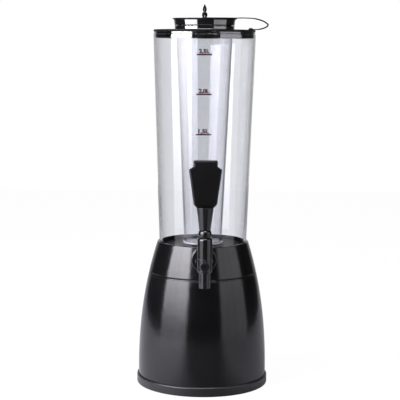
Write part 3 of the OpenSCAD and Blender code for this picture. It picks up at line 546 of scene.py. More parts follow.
black_rubber = rubbery("black_rubber", (0.03, 0.03, 0.031))
plain_steel = steely("plain_steel", (0.62, 0.62, 0.64))
dress("foot_pads", black_rubber)
dress("tray_screws", plain_steel)

# ---- Bell ----
# The base is one hollow bell of black plastic with a soft gloss. Its deck carries a spigot
# that the collar drops over, and four bosses at its foot take the tray's screws.
RIM_HEIGHT = 202.0
RIM_RADIUS = 63.51
FOOT_RADIUS = 89.8
CURVE_START = 20
CURVE_POWER = 2.2
SEAM_HEIGHT = 157.8
BELL_WALL = 3
DECK_UNDER = 154.8
SPIGOT_RADIUS = 70.51
SPIGOT_INNER = 68.01
SPIGOT_TOP = 165.8
FOOT_BOSS, FOOT_BOSS_TOP = 5, 22.5
FOOT_HOLE, FOOT_HOLE_TOP = 1.95, 18.5


def shell_radius(z):
    """The side that bell and collar share: upright, then R - (R - r) t^p, t from 0 to 1."""
    t = np.clip((np.asarray(z, float) - CURVE_START) / (RIM_HEIGHT - CURVE_START), 0, None)
    return FOOT_RADIUS - (FOOT_RADIUS - RIM_RADIUS) * t ** CURVE_POWER


def on_shell(z, inset=0.0):
    """One point (r, z) of the shared side, moved in by the inset."""
    return [float(shell_radius(z)) - inset, z]


def side(low, high, inset=0.0, count=60):
    """Points (r, z) of the shared side between two heights, moved in by the inset."""
    z = np.linspace(low, high, count)
    return np.column_stack([shell_radius(z) - inset, z])


gloss_black = moulded("gloss_black_plastic", (0.0035, 0.0035, 0.004), 0.16, 0.35, flow=0.12)
bell_edge = softened([on_shell(156), on_shell(157.3), on_shell(SEAM_HEIGHT, 0.4),
                      [70, SEAM_HEIGHT]], 0.35)
bell_edge = bell_edge[bell_edge[:, 0] > SPIGOT_RADIUS + 1]
bell_outline = np.concatenate([
    side(TRAY_FLOOR, 155.8, 0, 90),
    bell_edge[np.lexsort((-bell_edge[:, 0], bell_edge[:, 1]))],
    [[SPIGOT_RADIUS, SEAM_HEIGHT], [SPIGOT_RADIUS, SPIGOT_TOP - 1],
     [SPIGOT_RADIUS - 1, SPIGOT_TOP], [SPIGOT_INNER, SPIGOT_TOP], [SPIGOT_INNER, DECK_UNDER]],
    side(TRAY_FLOOR, DECK_UNDER, BELL_WALL, 60)[::-1]])
bosses = [rod(FOOT_BOSS, TRAY_FLOOR, FOOT_BOSS_TOP, place, 48)
          for place in ring_places(4, SCREW_RING)]
boss_holes = [rod(FOOT_HOLE, TRAY_FLOOR - 1, FOOT_HOLE_TOP, place, 32)
              for place in ring_places(4, SCREW_RING)]
bell_shell = carved("bell_shell", [turned(bell_outline, 288)],
                    [("UNION", bosses), ("DIFFERENCE", boss_holes)])
place_piece(bell_shell, "base", "base_bell", gloss_black)

# ---- Collar ----
# The upper shell, in the bell's plastic, carries on its line to a thin rim round the tube. A
# flat round boss in front takes the tap, and a ledge inside carries the pan on four screws.
COLLAR_FOOT = 158.1
SHANK_HEIGHT = 186.5
BOSS_FACE = -73.246
FLANGE_RADIUS = 17
SUMP_FRONT = -54.0
LEDGE_LOW = 187.2
LEDGE_TOP = 190.2
LEDGE_INNER = 52.0
MOUTH_RADIUS = 61.31
SADDLE_RADIUS = 11
SHANK_HOLE = 6.15
SUMP_HALF, SUMP_BACK = 19.8, -22
PAN_SCREW_RING = 53.9
PAN_SCREW_HOLE = 1.65


def laid(outline, sides=128, height=SHANK_HEIGHT):
    """A closed outline of points (r, y) turned round the tap's axis: (r cos a, y, r sin a)."""
    a = round_turn(sides)
    r, y = braced(outline).T
    return np.stack([r * np.cos(a), y + 0 * a, height + r * np.sin(a)], -1)


def bar(radius, y0, y1, sides=96, edge=0.0):
    """A plain cylinder along Y, its edges rounded by the given radius."""
    outline = [[0, y0], [radius, y0], [radius, y1], [0, y1]]
    return laid(softened(outline, [0, edge, edge, 0]) if edge else outline, sides)


collar_skin = np.concatenate([
    [[0, COLLAR_FOOT], on_shell(COLLAR_FOOT, 1.5),
     [on_shell(COLLAR_FOOT, 1.5)[0], COLLAR_FOOT + 1.3], on_shell(COLLAR_FOOT + 1.3, 0.2)],
    side(COLLAR_FOOT + 1.5, RIM_HEIGHT - 0.7, 0, 48),
    [[RIM_RADIUS - 0.12, RIM_HEIGHT - 0.25], [RIM_RADIUS - 0.5, RIM_HEIGHT], [0, RIM_HEIGHT]]])
collar_hollow = np.concatenate([
    [[0, COLLAR_FOOT - 1]], side(COLLAR_FOOT - 1, RIM_HEIGHT - 6, 2.8, 40),
    [[MOUTH_RADIUS, RIM_HEIGHT - 3], [MOUTH_RADIUS, RIM_HEIGHT - 0.3],
     [MOUTH_RADIUS + 0.3, RIM_HEIGHT + 1], [0, RIM_HEIGHT + 1]]])
ledge = [[LEDGE_INNER, LEDGE_LOW], on_shell(LEDGE_LOW, 1), on_shell(LEDGE_TOP, 1),
         [LEDGE_INNER, LEDGE_TOP]]
saddle = bar(SADDLE_RADIUS, BOSS_FACE + 2, SUMP_FRONT, 96)
saddle[..., 2] = np.minimum(saddle[..., 2], LEDGE_TOP)
screw_turn = np.radians([0, 60, 120, 180])
screw_places = PAN_SCREW_RING * np.column_stack([np.cos(screw_turn), np.sin(screw_turn)])
collar_shell = carved("collar_shell", [turned(collar_skin, 288)], [
    ("UNION", [bar(FLANGE_RADIUS, BOSS_FACE, -20, 128, 0.5)]),
    ("DIFFERENCE", [box_shape((-40, -100, RIM_HEIGHT), (40, 100, 230))]),
    ("DIFFERENCE", [turned(collar_hollow, 240)]),
    ("UNION", [turned(ledge, 240)]),
    ("UNION", [saddle]),
    ("DIFFERENCE", [bar(SHANK_HOLE, BOSS_FACE - 1, SUMP_FRONT + 1)]),
    ("DIFFERENCE", [box_shape((-SUMP_HALF, SUMP_FRONT, LEDGE_LOW - 1),
                              (SUMP_HALF, SUMP_BACK, LEDGE_TOP + 1))]),
    ("DIFFERENCE", [rod(PAN_SCREW_HOLE, LEDGE_LOW - 1, LEDGE_TOP + 1, place, 32)
                    for place in screw_places])])
place_piece(collar_shell, "tower", "collar", gloss_black)

# ---- Floor pan, its screws and its seal ----
# The pan closes the tube's foot and holds the sump that the tap draws from. It is moulded in
# black plastic, screwed to the ledge, and an O-ring seals it in the tube.
pan_black = moulded("pan_black_plastic", (0.003, 0.003, 0.0035), 0.5, 0.4, bend=1.25)
dress("floor_pan", pan_black)
dress("pan_screws", plain_steel)
dress("tube_seal", black_rubber)

# ---- Clear tube ----
# A tapered tube of clear polished acrylic, open at both ends, with eased edges. It stands on
# the pan's flange, and the floor's O-ring grips it from inside.
TUBE_FOOT_HEIGHT = 193.2
TUBE_LENGTH = 296.8
TUBE_TOP_HEIGHT = TUBE_FOOT_HEIGHT + TUBE_LENGTH
TUBE_FOOT_RADIUS = 60.7
TUBE_TOP_RADIUS = 71.2
TUBE_WALL = 2.5
ACRYLIC_BEND = 1.49


def tube_radius(z):
    """Outer radius of the tube, a straight taper from foot to top."""
    share = (np.asarray(z, float) - TUBE_FOOT_HEIGHT) / TUBE_LENGTH
    return TUBE_FOOT_RADIUS + (TUBE_TOP_RADIUS - TUBE_FOOT_RADIUS) * share


def clear(name, tint, wave=0.15):
    """Clear acrylic: it bends light, takes a faint tint, and its polish waves very slightly."""
    finish, nodes, place = new_finish(name)
    draw = nodes.noise(nodes.stretched(place, 1, 1, 0.25), 55, 1)
    haze = nodes.noise(place, 35, 3)
    close_finish(nodes, {
        "Base Color": nodes.ramp(haze, (0.3, *shaded(tint, 0.985)), (0.7, *tint)),
        "Roughness": 0.004 + 0.012 * haze, "Normal": nodes.bump(draw, wave, 0.0004),
        "IOR": ACRYLIC_BEND, "Transmission Weight": 1})
    return finish


clear_tube = clear("clear_tube_acrylic", (0.905, 0.91, 0.935))
tube_corners = [
    [TUBE_FOOT_RADIUS - TUBE_WALL, TUBE_FOOT_HEIGHT], [TUBE_FOOT_RADIUS, TUBE_FOOT_HEIGHT],
    [TUBE_TOP_RADIUS, TUBE_TOP_HEIGHT], [TUBE_TOP_RADIUS - TUBE_WALL, TUBE_TOP_HEIGHT]]
clear_wall = solid("clear_wall", [turned(softened(tube_corners, [0.3, 0.3, 0.8, 0.8], 6), 360)])
place_piece(clear_wall, "tower", "reservoir_tube", clear_tube)

# ---- Volume marks ----
# Three printed lines with their litres, in dark red on the front of the tube. The print is
# a film that lies on the wall.
MARK_HEIGHTS = (462.4, 409.6, 355.5)
MARK_WORDS = ("2,5L", "2,0L", "1,5L")
MARK_LEFT, MARK_RIGHT = -12.2, 8.9
MARK_LINE = 1.8
WORD_LEFT, WORD_WIDTH, WORD_HEIGHT = -8.9, 14.2, 5.6
WORD_GAP = 1.9
WORD_BOLD = 0.048
FILM_LIFT = 0.02
FILM_TOP = FILM_LIFT + 0.04


def on_tube(across, up, out):
    """A flat point (across, up) laid on the tube's front: the angle is across / r."""
    r = tube_radius(up) + out
    return np.stack([r * np.sin(across / r), -r * np.cos(across / r), up + 0 * r], -1)


def line_shape(height):
    """A thin curved bar on the tube: across its length, with a ring of four corners."""
    across = np.linspace(MARK_LEFT, MARK_RIGHT, 30)
    corners = np.array([[-0.5, 0], [0.5, 0], [0.5, 1], [-0.5, 1]])
    up = height + MARK_LINE * corners[:, 0]
    out = FILM_LIFT + (FILM_TOP - FILM_LIFT) * corners[:, 1]
    return closed_ends(on_tube(across[:, None] + 0 * up, up + 0 * across[:, None], out))


def word_mesh(word, height):
    """A word turned to a mesh and laid on the tube, its foot at the given height."""
    curve = bpy.data.curves.new("word", "FONT")
    curve.body = word
    curve.size = 1
    curve.extrude = 0.01
    curve.offset = WORD_BOLD
    curve.resolution_u = 4
    flat = bpy.data.objects.new("word", curve)
    bpy.context.scene.collection.objects.link(flat)
    bpy.context.view_layer.update()
    graph = bpy.context.evaluated_depsgraph_get()
    mesh = bpy.data.meshes.new_from_object(flat.evaluated_get(graph))
    bpy.data.objects.remove(flat)
    at = np.zeros(len(mesh.vertices) * 3)
    mesh.vertices.foreach_get("co", at)
    x, y, z = at.reshape(-1, 3).T
    wide = WORD_WIDTH / (x.max() - x.min())
    tall = WORD_HEIGHT / y.max()
    at = on_tube(WORD_LEFT + (x - x.min()) * wide, height + y * tall,
                 np.where(z > 0, FILM_TOP, FILM_LIFT))
    mesh.vertices.foreach_set("co", (at * 0.001).astype(np.float32).ravel())
    mesh.update()
    return mesh


def printed(name, colour):
    """Screen print: dull dense ink that is thinner in fine spots."""
    finish, nodes, place = new_finish(name)
    mottle = nodes.noise(place, 700, 3)
    close_finish(nodes, {
        "Base Color": nodes.ramp(mottle, (0.35, *colour), (0.8, *shaded(colour, 1.3, 0.005))),
        "Roughness": 0.45 + 0.1 * mottle, "Normal": nodes.bump(mottle, 0.2, 0.0001), "IOR": 1.15})
    return finish


marks_mesh = mesh_from("volume_marks", [line_shape(h) for h in MARK_HEIGHTS])
gather = bmesh.new()
gather.from_mesh(marks_mesh)
for word, height in zip(MARK_WORDS, MARK_HEIGHTS):
    gather.from_mesh(word_mesh(word, height + WORD_GAP))
gather.to_mesh(marks_mesh)
gather.free()
tidy_mesh(marks_mesh)
volume_marks = bpy.data.objects.new("volume_marks", marks_mesh)
bpy.context.scene.collection.objects.link(volume_marks)
marks_mesh.materials.append(printed("dark_red_print", (0.024, 0.0004, 0.008)))
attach(volume_marks, "tower")

# ---- Shank, washers and nuts ----
# A threaded tube of black plastic passes through collar and sump. Its flange presses a rubber
# washer on the boss, a nut draws it up from inside, and the coupling nut holds the tap.
FLANGE_BACK = -75.246
FLANGE_FRONT = -78.746
BARREL_BACK = -82.746
SHANK_TAIL = -42.0
SHANK_RADIUS = 6
SHANK_BORE = 4
NECK_RADIUS = 8
THREAD_PITCH, THREAD_DEPTH = 1.5, 0.45
SUMP_INSIDE = -51.5
NUT_FRONT = -49.5
SHANK_FIT = 6.05
COUPLING_HOLE = 8.65
NUT_SIDES = 360
NUT_CUT, NUT_CONE, CONE_LENGTH = 0.25, 1.3, 2.2
NUT_EASE = 0.3


def threaded(shape, low, high):
    """Sinks a thread into a lying solid: r falls by d |2 u - 1|, u the turn's share, between
    the two places, and only on its outside."""
    x, y, z = shape[..., 0], shape[..., 1], shape[..., 2] - SHANK_HEIGHT
    r, a = np.hypot(x, z), np.arctan2(z, x)
    turn_share = np.mod(y / THREAD_PITCH - a / (2 * np.pi), 1)
    ease = np.clip((y - low) / 2, 0, 1) * np.clip((high - y) / 1.2, 0, 1)
    outside = np.abs(r - SHANK_RADIUS) < 0.3
    r = r - THREAD_DEPTH * np.abs(2 * turn_share - 1) * ease * outside
    return np.stack([r * np.cos(a), y, SHANK_HEIGHT + r * np.sin(a)], -1)


tap_black = moulded("tap_black_plastic", (0.004, 0.004, 0.0045), 0.16, 0.3, bend=1.7)
thread_rows = np.arange(FLANGE_BACK + 0.2, SHANK_TAIL - 0.4, THREAD_PITCH / 10)
shank_outline = np.concatenate([
    [[SHANK_BORE, SHANK_TAIL], [SHANK_BORE, BARREL_BACK], [NECK_RADIUS - 0.4, BARREL_BACK],
     [NECK_RADIUS, BARREL_BACK + 0.4], [NECK_RADIUS, FLANGE_FRONT],
     [FLANGE_RADIUS - 1.2, FLANGE_FRONT], [FLANGE_RADIUS - 0.7, FLANGE_FRONT + 0.12],
     [FLANGE_RADIUS - 0.25, FLANGE_FRONT + 0.4], [FLANGE_RADIUS, FLANGE_FRONT + 0.9],
     [FLANGE_RADIUS, FLANGE_BACK - 0.3], [FLANGE_RADIUS - 0.3, FLANGE_BACK],
     [SHANK_RADIUS, FLANGE_BACK]],
    np.column_stack([np.full(len(thread_rows), SHANK_RADIUS), thread_rows]),
    [[SHANK_RADIUS, SHANK_TAIL - 0.4], [SHANK_RADIUS - 0.4, SHANK_TAIL]]])
threaded_shank = solid("threaded_shank", [
    threaded(laid(shank_outline, 120), FLANGE_BACK, SHANK_TAIL)])
place_piece(threaded_shank, "tower", "shank", tap_black)


def washer(name, outer, y0, y1, node):
    """A flat rubber ring on the shank, whose edges are eased."""
    outline = [[SHANK_FIT, y0], [outer, y0], [outer, y1], [SHANK_FIT, y1]]
    ring = solid(name, [laid(softened(outline, 0.35), 128)])
    place_piece(ring, "tower", node, black_rubber)


washer("front_washer", 15, FLANGE_BACK, BOSS_FACE, "outer_washer")
washer("sump_washer", 9.8, SUMP_INSIDE, NUT_FRONT, "inner_washer")


def hex_nut(name, corner, bore, y0, y1, cone_front, cone_back, node):
    """A hexagonal nut: its outside is the least of the hexagon, c cos 30 / cos(a mod 60 - 30),
    the round bar that it is cut from, and a cone at each end that turns the corners off."""
    a = round_turn(NUT_SIDES)
    flats = corner * math.cos(math.pi / 6) / np.cos(np.mod(a, np.pi / 3) - np.pi / 6)
    flats = np.minimum(flats, corner - NUT_CUT)
    y = np.concatenate([np.linspace(y0, y0 + CONE_LENGTH, 14),
                        np.linspace(y1 - CONE_LENGTH, y1, 14)])
    cone = np.minimum(corner - cone_front + (y - y0) * NUT_CONE,
                      corner - cone_back + (y1 - y) * NUT_CONE)
    hole = np.broadcast_to([bore, bore + NUT_EASE], (NUT_SIDES, 2))
    r = np.concatenate([hole, np.minimum(flats, cone), hole[:, ::-1]], 1)
    y = np.concatenate([[y0 + NUT_EASE, y0], y, [y1, y1 - NUT_EASE]])
    grid = np.stack([r * np.cos(a), y + 0 * a, SHANK_HEIGHT + r * np.sin(a)], -1)
    place_piece(solid(name, [grid], 24), "tower", node, tap_black)


hex_nut("sump_nut", 9.8, SHANK_FIT, NUT_FRONT, NUT_FRONT + 6, 0.9, 0.9, "shank_nut")
hex_nut("tap_nut", 12.7, COUPLING_HOLE, FLANGE_FRONT - 8, FLANGE_FRONT, 1.5, 0.4, "coupling_nut")

# ---- Tap body and its front plug ----
# One moulding in glossy black plastic: a level barrel that the coupling nut holds, an upright
# valve chamber with a small nib, and a ring at the front. A duller black plug with a hexagon
# socket closes the ring.
TAP_AXIS = -120.046
TAP_CENTRE = (0, TAP_AXIS)
TAP_RADIUS = 9.9
BODY_LOW = 176.0
SEAT = 180.2
JOINT = 195.4
BARREL_RADIUS = 8.6
SPOUT_SOCKET, SOCKET_TOP = 6.55, BODY_LOW + 2.2
SEAT_HOLE = 4.8
CHAMBER_RADIUS = 7
BONNET_SOCKET, BONNET_FOOT = 8, JOINT - 4.4
PLUG_FACE = TAP_AXIS - 11.2
PLUG_RING = 6.2
PLUG_HOLE = 3.25
NIB_HEIGHT = 193.2

body_outside = softened([[0, BODY_LOW], [8.1, BODY_LOW], [TAP_RADIUS, BODY_LOW + 2.5],
                         [TAP_RADIUS, JOINT], [0, JOINT]], [0, 0.3, 1.2, 0.35, 0])
body_inside = [[0, BODY_LOW - 1], [SPOUT_SOCKET, BODY_LOW - 1], [SPOUT_SOCKET, SOCKET_TOP],
               [SEAT_HOLE, SOCKET_TOP], [SEAT_HOLE, SEAT], [CHAMBER_RADIUS, SEAT],
               [CHAMBER_RADIUS, BONNET_FOOT], [BONNET_SOCKET, BONNET_FOOT],
               [BONNET_SOCKET, JOINT + 1], [0, JOINT + 1]]
nib = softened([[0, -1.4], [1.1, -1.4], [1.1, 0.35], [0, 0.35]], [0, 0, 0.6, 0])
nib_outline = np.column_stack([nib[:, 0], TAP_AXIS - TAP_RADIUS - nib[:, 1]])
tap_shell = carved("tap_shell", [turned(body_outside, 160, TAP_CENTRE)], [
    ("UNION", [bar(BARREL_RADIUS, TAP_AXIS, BARREL_BACK, 128, 0.3)]),
    ("UNION", [bar(PLUG_RING, PLUG_FACE, TAP_AXIS, 96, 0.35)]),
    ("UNION", [laid(nib_outline, 32, NIB_HEIGHT)]),
    ("DIFFERENCE", [turned(body_inside, 128, TAP_CENTRE)]),
    ("DIFFERENCE", [bar(SHANK_BORE, TAP_AXIS, BARREL_BACK + 1, 64)]),
    ("DIFFERENCE", [bar(PLUG_HOLE, PLUG_FACE - 1, TAP_AXIS, 64)])])
place_piece(tap_shell, "tower", "tap_body", tap_black)

plug_outline = softened([[0, PLUG_FACE - 1.4], [6.05, PLUG_FACE - 1.4], [6.05, PLUG_FACE],
                         [3.2, PLUG_FACE], [3.2, TAP_AXIS - 7.6], [0, TAP_AXIS - 7.6]],
                        [0, 0.45, 0.1, 0.1, 0.2, 0])
dark_plastic = moulded("dark_plug_plastic", (0.003, 0.003, 0.0033), 0.35, 0.5, 1.4)
round_plug = carved("round_plug", [laid(plug_outline, 96)], [
    ("DIFFERENCE", [bar(2.2, PLUG_FACE - 2.4, PLUG_FACE + 1.6, 6)])])
place_piece(round_plug, "tower", "front_plug", dark_plastic)

# ---- Spout ----
# A straight tube of the same black plastic, cut flat at its mouth. Its short spigot is
# pressed into the body's foot, right under the valve.
SPOUT_LOW = 156.5
SPOUT_BORE, SPOUT_RADIUS = 5.2, 7.6
SPOUT_SPIGOT = 6.5

spout_outline = softened([
    [SPOUT_BORE, SPOUT_LOW], [SPOUT_RADIUS, SPOUT_LOW], [SPOUT_RADIUS, BODY_LOW],
    [SPOUT_SPIGOT, BODY_LOW], [SPOUT_SPIGOT, SOCKET_TOP], [SPOUT_BORE, SOCKET_TOP]],
    [0.4, 0.5, 0.3, 0.1, 0.2, 0.2])
spout_tube = solid("spout_tube", [turned(spout_outline, 144, TAP_CENTRE)])
place_piece(spout_tube, "tower", "spout", tap_black)

# ---- Bonnet ----
# The upright cylinder over the valve, also black plastic. Its domed top holds the lever's
# ball in a round seat, and its foot presses into the body, with a thin line where they meet.
BONNET_TOP = 223.5
BALL_HEIGHT = 228.2
BALL_RADIUS = 8.8
SEAT_RADIUS = 9.1
WEB_LOW = 214.6
WEB_HOLE = 3.3
SPRING_ROOM = 6.6
DOME_WIDE, DOME_TALL = 2.2, 3.6

dome = np.linspace(0, np.pi / 2, 12)[:-1]
seat_low = -math.sqrt(SEAT_RADIUS ** 2 - WEB_HOLE ** 2)
fall = np.linspace(BONNET_TOP - BALL_HEIGHT, seat_low, 16)
bonnet_outline = np.concatenate([
    [[SPRING_ROOM, JOINT - 4.1], [7.95, JOINT - 4.1], [7.95, JOINT], [9.4, JOINT],
     [9.78, JOINT + 0.15], [TAP_RADIUS, JOINT + 0.5]],
    np.column_stack([TAP_RADIUS - DOME_WIDE * (1 - np.cos(dome)),
                     BONNET_TOP - DOME_TALL * (1 - np.sin(dome))]),
    np.column_stack([np.sqrt(SEAT_RADIUS ** 2 - fall ** 2), BALL_HEIGHT + fall]),
    [[WEB_HOLE, WEB_LOW], [SPRING_ROOM, WEB_LOW]]])
bonnet_shell = solid("bonnet_shell", [turned(bonnet_outline, 160, TAP_CENTRE)])
place_piece(bonnet_shell, "tower", "bonnet", tap_black)

# ---- Valve: spring, stem and cup ----
# A steel stem carries a silicone cup that closes the outlet, and a coil spring round it pushes
# it shut. The three are inside the tap. The spring shortens as the stem rises.
WIRE_RADIUS = 0.55
COIL_RADIUS = 4.9
COIL_TURNS = 6
COIL_LOW, COIL_HIGH = 201.45, 213.75


def coil_grid():
    """The spring's wire, a circle of radius w carried along the helix (R cos a, R sin a, z),
    with z in step with a, and both ends closed to a point."""
    a = np.linspace(0, 2 * np.pi * COIL_TURNS, 24 * COIL_TURNS + 1)[:, None]
    b = round_turn(12).T
    r = COIL_RADIUS + WIRE_RADIUS * np.cos(b)
    z = COIL_LOW + (COIL_HIGH - COIL_LOW) * a / a.max() + WIRE_RADIUS * np.sin(b)
    return closed_ends(np.stack([r * np.cos(a), TAP_AXIS + r * np.sin(a), z], -1))


spring_steel = steely("spring_steel", (0.55, 0.55, 0.57), 0.22)
pale_silicone = rubbery("pale_silicone", (0.55, 0.56, 0.58), 0.6)
coil_spring = solid("coil_spring", [coil_grid()])
stand_in(coil_spring, "valve_spring", spring_steel)
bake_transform(coil_spring)
dress("valve_stem", plain_steel)
dress("seat_cup", pale_silicone)


# ---- Lever ball, lift pin and handle stem ----
# The black ball turns in the bonnet's seat. A slot in its back half takes the valve stem's
# flat head on a steel cross pin, and its stud runs up through the conical stem into the paddle.
def slab(outline, x0, x1):
    """A flat outline of points (y, z) carried along X, with both ends closed to a point."""
    rings = [np.column_stack([np.full(len(outline), x), outline]) for x in (x0, x1)]
    return closed_ends(np.stack(rings))


FLAT_HEIGHT = 234.0
PADDLE_FOOT = 264.0
STUD_RADIUS, STUD_TOP = 3, 278.0
STUD_HOLE = 3.05
LIFT_ARM = 5
PIN_HOLE = 1.25
SLOT_HALF = 2.2

rise = np.linspace(-np.pi / 2, math.asin((FLAT_HEIGHT - BALL_HEIGHT) / BALL_RADIUS), 40)
ball_outline = np.concatenate([
    np.column_stack([BALL_RADIUS * np.cos(rise), BALL_HEIGHT + BALL_RADIUS * np.sin(rise)]),
    [[STUD_RADIUS, FLAT_HEIGHT], [STUD_RADIUS, STUD_TOP - 0.6], [STUD_RADIUS - 0.6, STUD_TOP],
     [0, STUD_TOP]]])
ball_outline[0, 0] = 0
slot_outline = np.array([[9.8, 3.6], [1.5, 3.6], [-3.2, 0.3], [-8.6, -6.3], [-8.6, -9.8],
                         [9.8, -9.8]]) + [TAP_AXIS, BALL_HEIGHT]
pin_turn = round_turn(32)
hole_outline = np.column_stack([TAP_AXIS + LIFT_ARM + PIN_HOLE * np.cos(pin_turn),
                                BALL_HEIGHT + PIN_HOLE * np.sin(pin_turn)])
round_ball = carved("round_ball", [turned(ball_outline, 144, TAP_CENTRE)], [
    ("DIFFERENCE", [slab(slot_outline, -SLOT_HALF, SLOT_HALF)]),
    ("DIFFERENCE", [slab(hole_outline, -BALL_RADIUS - 0.2, BALL_RADIUS + 0.2)])])
place_piece(round_ball, "lever", "lever_ball", gloss_black)
dress("lift_pin", plain_steel)

stem_outline = softened([[STUD_HOLE, FLAT_HEIGHT], [7.45, FLAT_HEIGHT], [11.45, PADDLE_FOOT],
                         [STUD_HOLE, PADDLE_FOOT]], [0.2, 0.5, 0.4, 0.2])
cone_stem = solid("cone_stem", [turned(stem_outline, 144, TAP_CENTRE)])
place_piece(cone_stem, "lever", "handle_stem", gloss_black)

# ---- Paddle ----
# The flat grip, a satin black moulding: a narrow head, pointed shoulders and a taper to a
# chamfered foot. Its broad faces are flat and its sides are bevelled. It screws on the stud.
PADDLE_TOP = 325.6
paddle_rows = np.array([
    # height, half width, half thickness
    [PADDLE_FOOT, 11.8, 6.0],
    [PADDLE_FOOT + 4.5, 15.4, 8.5],
    [PADDLE_TOP - 12.3, 21.7, 5.72],
    [PADDLE_TOP - 8.3, 15.9, 5.5],
    [PADDLE_TOP - 1.6, 15.9, 5.0],
    [PADDLE_TOP, 15.1, 3.6]])
PANEL_INSET = 1.9
SIDE_BEVEL = 1.6
EDGE_EASE = 0.4


def paddle_grid():
    """Eight-cornered level sections, one for each row: the corners of a rectangle of the row's
    half width and half thickness, each cut off by the inset and the bevel."""
    z, w, t = paddle_rows[:, :1], paddle_rows[:, 1:2], paddle_rows[:, 2:3]
    cut = np.minimum(SIDE_BEVEL, t - 2.2)
    x = np.concatenate([w, w, w - PANEL_INSET, PANEL_INSET - w, -w, -w, PANEL_INSET - w,
                        w - PANEL_INSET], 1)
    y = np.concatenate([cut - t, t - cut, t, t, t - cut, cut - t, -t, -t], 1)
    return closed_ends(np.stack([x, TAP_AXIS + y, z + 0 * x], -1))


handle_black = moulded("handle_black_plastic", (0.003, 0.003, 0.0033), 0.33, 0.4, 1.3, bend=1.38)
grip = carved("grip", [paddle_grid()], [
    ("DIFFERENCE", [rod(STUD_HOLE, PADDLE_FOOT - 1, STUD_TOP + 0.5, TAP_CENTRE, 48)])], 20)
ease_edges = grip.modifiers.new("ease", "BEVEL")
ease_edges.width, ease_edges.segments = EDGE_EASE / 1000, 3
ease_edges.limit_method, ease_edges.angle_limit = "ANGLE", math.radians(18)
ease_edges.harden_normals = True
place_piece(grip, "lever", "handle_paddle", handle_black)

# ---- Lid and gasket ----
# A flat disc of glossy black plastic, dull on its rim, with a skirt that drops inside the
# tube and a neck round the ice tube. A pale silicone ring lies between disc and tube.
LID_LOW = 493.2
LID_TOP = 496.2
LID_RADIUS = 70.6
SKIRT_LOW = 484.5
SKIRT_RADIUS = 68.2
NECK_INNER = 40.1
NECK_OUTER = 41.4
NECK_TOP = 500.4
PIN_PLACE = (64.0, 0)
LID_PIN_HOLE = 1.55
GASKET_LOW, GASKET_RADIUS = 490.3, 70.4

lid_black = moulded("lid_black_plastic", (0.0035, 0.0035, 0.004), 0.07, 0.2, bend=2.8)
rim_black = moulded("rim_black_plastic", (0.003, 0.003, 0.0035), 0.4, 0.3, bend=1.3)
lid_outline = softened([
    [NECK_INNER, LID_LOW], [SKIRT_RADIUS - 2, LID_LOW], [SKIRT_RADIUS - 2, SKIRT_LOW],
    [SKIRT_RADIUS, SKIRT_LOW], [SKIRT_RADIUS, LID_LOW], [LID_RADIUS - 0.8, LID_LOW],
    [LID_RADIUS, LID_LOW + 0.8], [LID_RADIUS, LID_TOP - 0.8], [LID_RADIUS - 0.8, LID_TOP],
    [NECK_OUTER + 0.8, LID_TOP], [NECK_OUTER, LID_TOP + 0.8], [NECK_OUTER, NECK_TOP],
    [NECK_INNER, NECK_TOP]], [0.3, 0.5, 0.5, 0.5, 0.1, 0.4, 0.4, 0.4, 0.4, 0.4, 0.4, 0.2, 0.2], 4)
lid_disc = carved("lid_disc", [turned(lid_outline, 300)], [
    ("DIFFERENCE", [rod(LID_PIN_HOLE, LID_LOW - 1, LID_TOP + 1, PIN_PLACE, 48)])])
place_piece(lid_disc, "lid_set", "lid", lid_black)
second_finish(lid_disc, rim_black,
              lambda x, y, z: (np.hypot(x, y) > SKIRT_RADIUS + 1) & (z > LID_LOW - 0.1))

gasket_outline = softened([[SKIRT_RADIUS + 0.1, GASKET_LOW], [GASKET_RADIUS, GASKET_LOW],
                           [GASKET_RADIUS, LID_LOW], [SKIRT_RADIUS + 0.1, LID_LOW]], 0.6)
pale_ring = solid("pale_ring", [turned(gasket_outline, 300)])
clear_silicone = clear("clear_silicone", (0.8, 0.81, 0.83), 0.4)
place_piece(pale_ring, "lid_set", "lid_gasket", clear_silicone)

# ---- Ice tube ----
# A clear tapered tube that keeps ice apart from the drink. Its flange lies on the lid's neck,
# and its foot, closed and frosted, hangs just above the reservoir's floor.
ICE_FOOT = 199.3
ICE_FOOT_RADIUS = 26.2
ICE_TOP_RADIUS = 39.8
ICE_WALL = 2
ICE_FLOOR = ICE_FOOT + 2
ICE_RING = 28
ICE_FLANGE, ICE_TOP = 41.8, 501.9


def ice_radius(z):
    """Outer radius of the ice tube, a straight taper from its foot to the lid's neck."""
    wider = ICE_TOP_RADIUS - ICE_FOOT_RADIUS
    return ICE_FOOT_RADIUS + wider * (z - ICE_FOOT) / (NECK_TOP - ICE_FOOT)


def frosted(name, tint):
    """The foot's moulded face: milky where the surface is etched, with a fine even grain."""
    finish, nodes, place = new_finish(name)
    grain = nodes.noise(place, 1400, 2)
    cloud = nodes.noise(place, 70, 3)
    close_finish(nodes, {
        "Base Color": nodes.ramp(cloud, (0.3, *shaded(tint, 0.94)), (0.7, *tint)),
        "Roughness": 0.06 + 0.08 * cloud, "Normal": nodes.bump(grain, 0.3, 0.0001),
        "IOR": 2.1, "Transmission Weight": 0.02})
    return finish


